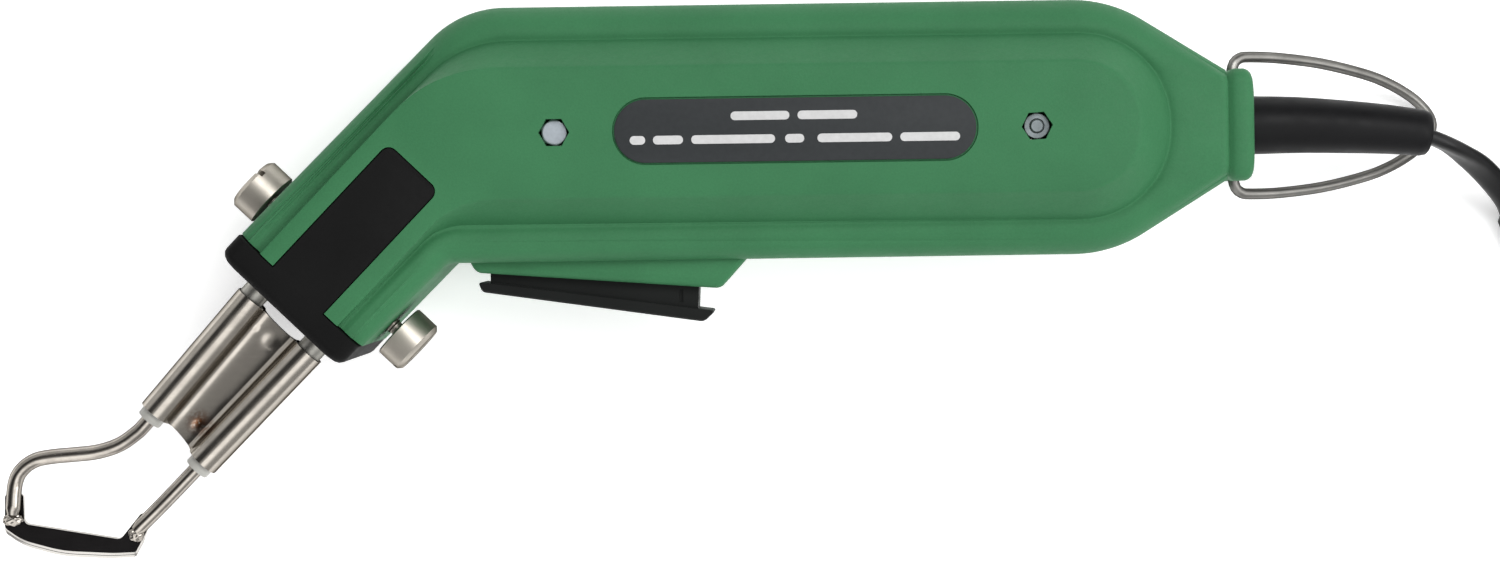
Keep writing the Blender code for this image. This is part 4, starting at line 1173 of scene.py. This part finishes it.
def trigger_spring():
    """The coil spring over the rocker, given a mesh of its own."""
    x, y, z = SPRING_START
    path = [(x + a, y + SPRING_LENGTH * (turn + k / 24) / SPRING_TURNS, z + b)
            for turn in range(SPRING_TURNS) for k, (a, b) in enumerate(circle(SPRING_RADIUS, 24))]
    path.append((x + SPRING_RADIUS, y + SPRING_LENGTH, z))
    spring = place_piece(sweep("coil_spring", path, circle(SPRING_WIRE, 10)), "trigger_spring")
    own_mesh(spring)


def bail():
    half = BAIL_HALF
    upper = [(0, 10.2), (0, half - 3.4), (0.7, half - 1.4), (2.2, half - 0.3), (4.6, half),
             (12.8, half - 0.2), (24.6, 14.2), (36.6, 11.8), (43.4, 9.6), (49.0, 6.9), (52.4, 4.5),
             (54.7, 2.0)]
    route = upper + [(BAIL_LENGTH, 0)] + [(x, -y) for x, y in reversed(upper)]
    drop = asin((MID - BAIL_RADIUS) / BAIL_LENGTH)
    c, n = cos(drop), sin(drop)
    route = smooth_line([(BAIL_PIVOT_X + x * c, y, MID - x * n) for x, y in route], 0.9)
    place_piece(sweep("bail_wire", route, circle(BAIL_RADIUS, 24), [(n, 0, c)] * len(route)), "bail")


FLANGE_END, FLANGE_RADIUS = 90.6, 8.2
TAPER_START, TAPER_LENGTH, SLEEVE_RADIUS = 94.2, 39.7, 6.6
TIP_START, TIP_LENGTH = 132.5, 1.5


def strain_relief():
    """A flange inside the collar, a long taper and a rounded tip."""
    spine = [(85.2, 0, MID), (FLANGE_END, 0, MID), (TAPER_START, 0, MID), (104, -0.1, MID),
             (114, -0.6, MID), (124, -1.3, MID - 0.2), (132.2, -2.2, MID - 0.6),
             (133.9, -2.4, MID - 0.7)]
    route = smooth_line(spine, 1.0)
    radii = []
    for x, _, _ in route:
        along = max(0.0, (x - TAPER_START) / TAPER_LENGTH)
        end = min(1.0, max(0.0, (x - TIP_START) / TIP_LENGTH))
        taper = SLEEVE_RADIUS - 1.4 * along ** 1.3 - 1.2 * (1 - sqrt(1 - end ** 2))
        radii.append(FLANGE_RADIUS if x < FLANGE_END else taper)
    place_piece(sweep("strain_relief_sleeve", route, circle(1.0, 48), [(0, 0, 1)] * len(route), radii),
                "strain_relief")


PLUG_REAR = (197.0, 49.0)
PLUG_LENGTH = 37.0
PLUG_HALF = (17.65, 6.85)
RIB_DEPTH, RIB_PITCH = 0.045, 3.0
TIE_WALL = 0.62


def plug_rings(sections):
    (x, y), (half, thick_half) = PLUG_REAR, PLUG_HALF
    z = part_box("plug_body")[0].z / MM + thick_half
    angles = [2 * pi * k / 48 for k in range(48)]
    return [[(x - distance, y + half * wide * squarish(cos(a), 0.6),
              z + thick_half * thick * squarish(sin(a), 0.6)) for a in angles]
            for distance, wide, thick in sections]


def plug():
    """A flat two-pin plug with gripping ribs at its rear."""
    keys = [(0.0, 0.28, 0.60), (0.7, 0.30, 0.62), (4.0, 0.36, 0.72), (11.0, 0.62, 0.92),
            (18.0, 0.93, 1.0), (24.0, 1.0, 1.0), (35.5, 0.98, 0.97), (36.6, 0.97, 0.94),
            (PLUG_LENGTH, 0.94, 0.88)]
    reach, wides, thicks = zip(*keys)
    sections = []
    for k in range(int(PLUG_LENGTH * 2) + 1):
        d = k * 0.5
        wide, thick = float(np.interp(d, reach, wides)), float(np.interp(d, reach, thicks))
        if 12 < d < 30:
            groove = RIB_DEPTH * max(0.0, cos(2 * pi * d / RIB_PITCH)) ** 4
            wide, thick = wide - groove * 0.5, thick - groove
        sections.append((d, wide, thick))
    made = [place_piece(loft("two_pin_plug", plug_rings(sections), 40), "plug_body")]
    for name in ("plug_pin_a", "plug_pin_b"):
        low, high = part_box(name)
        y, z = (low.y + high.y) / 2 / MM, (low.z + high.z) / 2 / MM
        start, end, radius = high.x / MM, low.x / MM, (high.y - low.y) / 2 / MM
        length = start - end
        profile = [(radius * 0.93, 0), (radius * 0.93, 9.6), (radius, 9.9), (radius, length - 1.2),
                   (radius * 0.9, length - 0.55), (radius * 0.6, length - 0.12), (0.3, length)]
        pin = turned(name.replace("plug_pin", "contact_prong"), profile, (start, y, z), (end, y, z), 40)
        made.append(place_piece(pin, name))
    return made


def cord_tie():
    low, high = (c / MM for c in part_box("cord_tie"))
    x, half = (low.x + high.x) / 2, (high.x - low.x) / 2
    skin, inside = [], []
    for side, less in ((-1, 0.2), (-0.94, 0.0), (0.94, 0.0), (1, 0.2)):
        for rings, away, radius in ((skin, less, 1.6), (inside, TIE_WALL, 1.0)):
            ring = rectangle((low.y + away, low.z + away), (high.y - away, high.z - away), radius)
            rings.append([(x + half * side, a, b) for a, b, _ in ring])
    return place_piece(loft("cable_tie", skin + inside[::-1], 40, closed=True), "cord_tie")


# ---- the whole

for start_object in [o for o in bpy.data.objects if o.type in {"LIGHT", "CAMERA"}]:
    bpy.data.objects.remove(start_object)
make_camera()
cord, cord_path = mains_cord()
tie = cord_tie()
on_cord = [tie] + plug()
make_studio()
housing_half("lower", -1)
housing_half("upper", 1)
fasteners()
label()
clamp_screws()
nose()
blade_unit()
holder()
trigger()
trigger_spring()
bail()
strain_relief()
STOOD_FOR = {node for piece in SCENE.objects for node in piece.get("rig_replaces", [])}
for node, piece in frame["nodes"].items():
    if node not in STOOD_FOR:
        dress(piece, SLOT_OF[node])
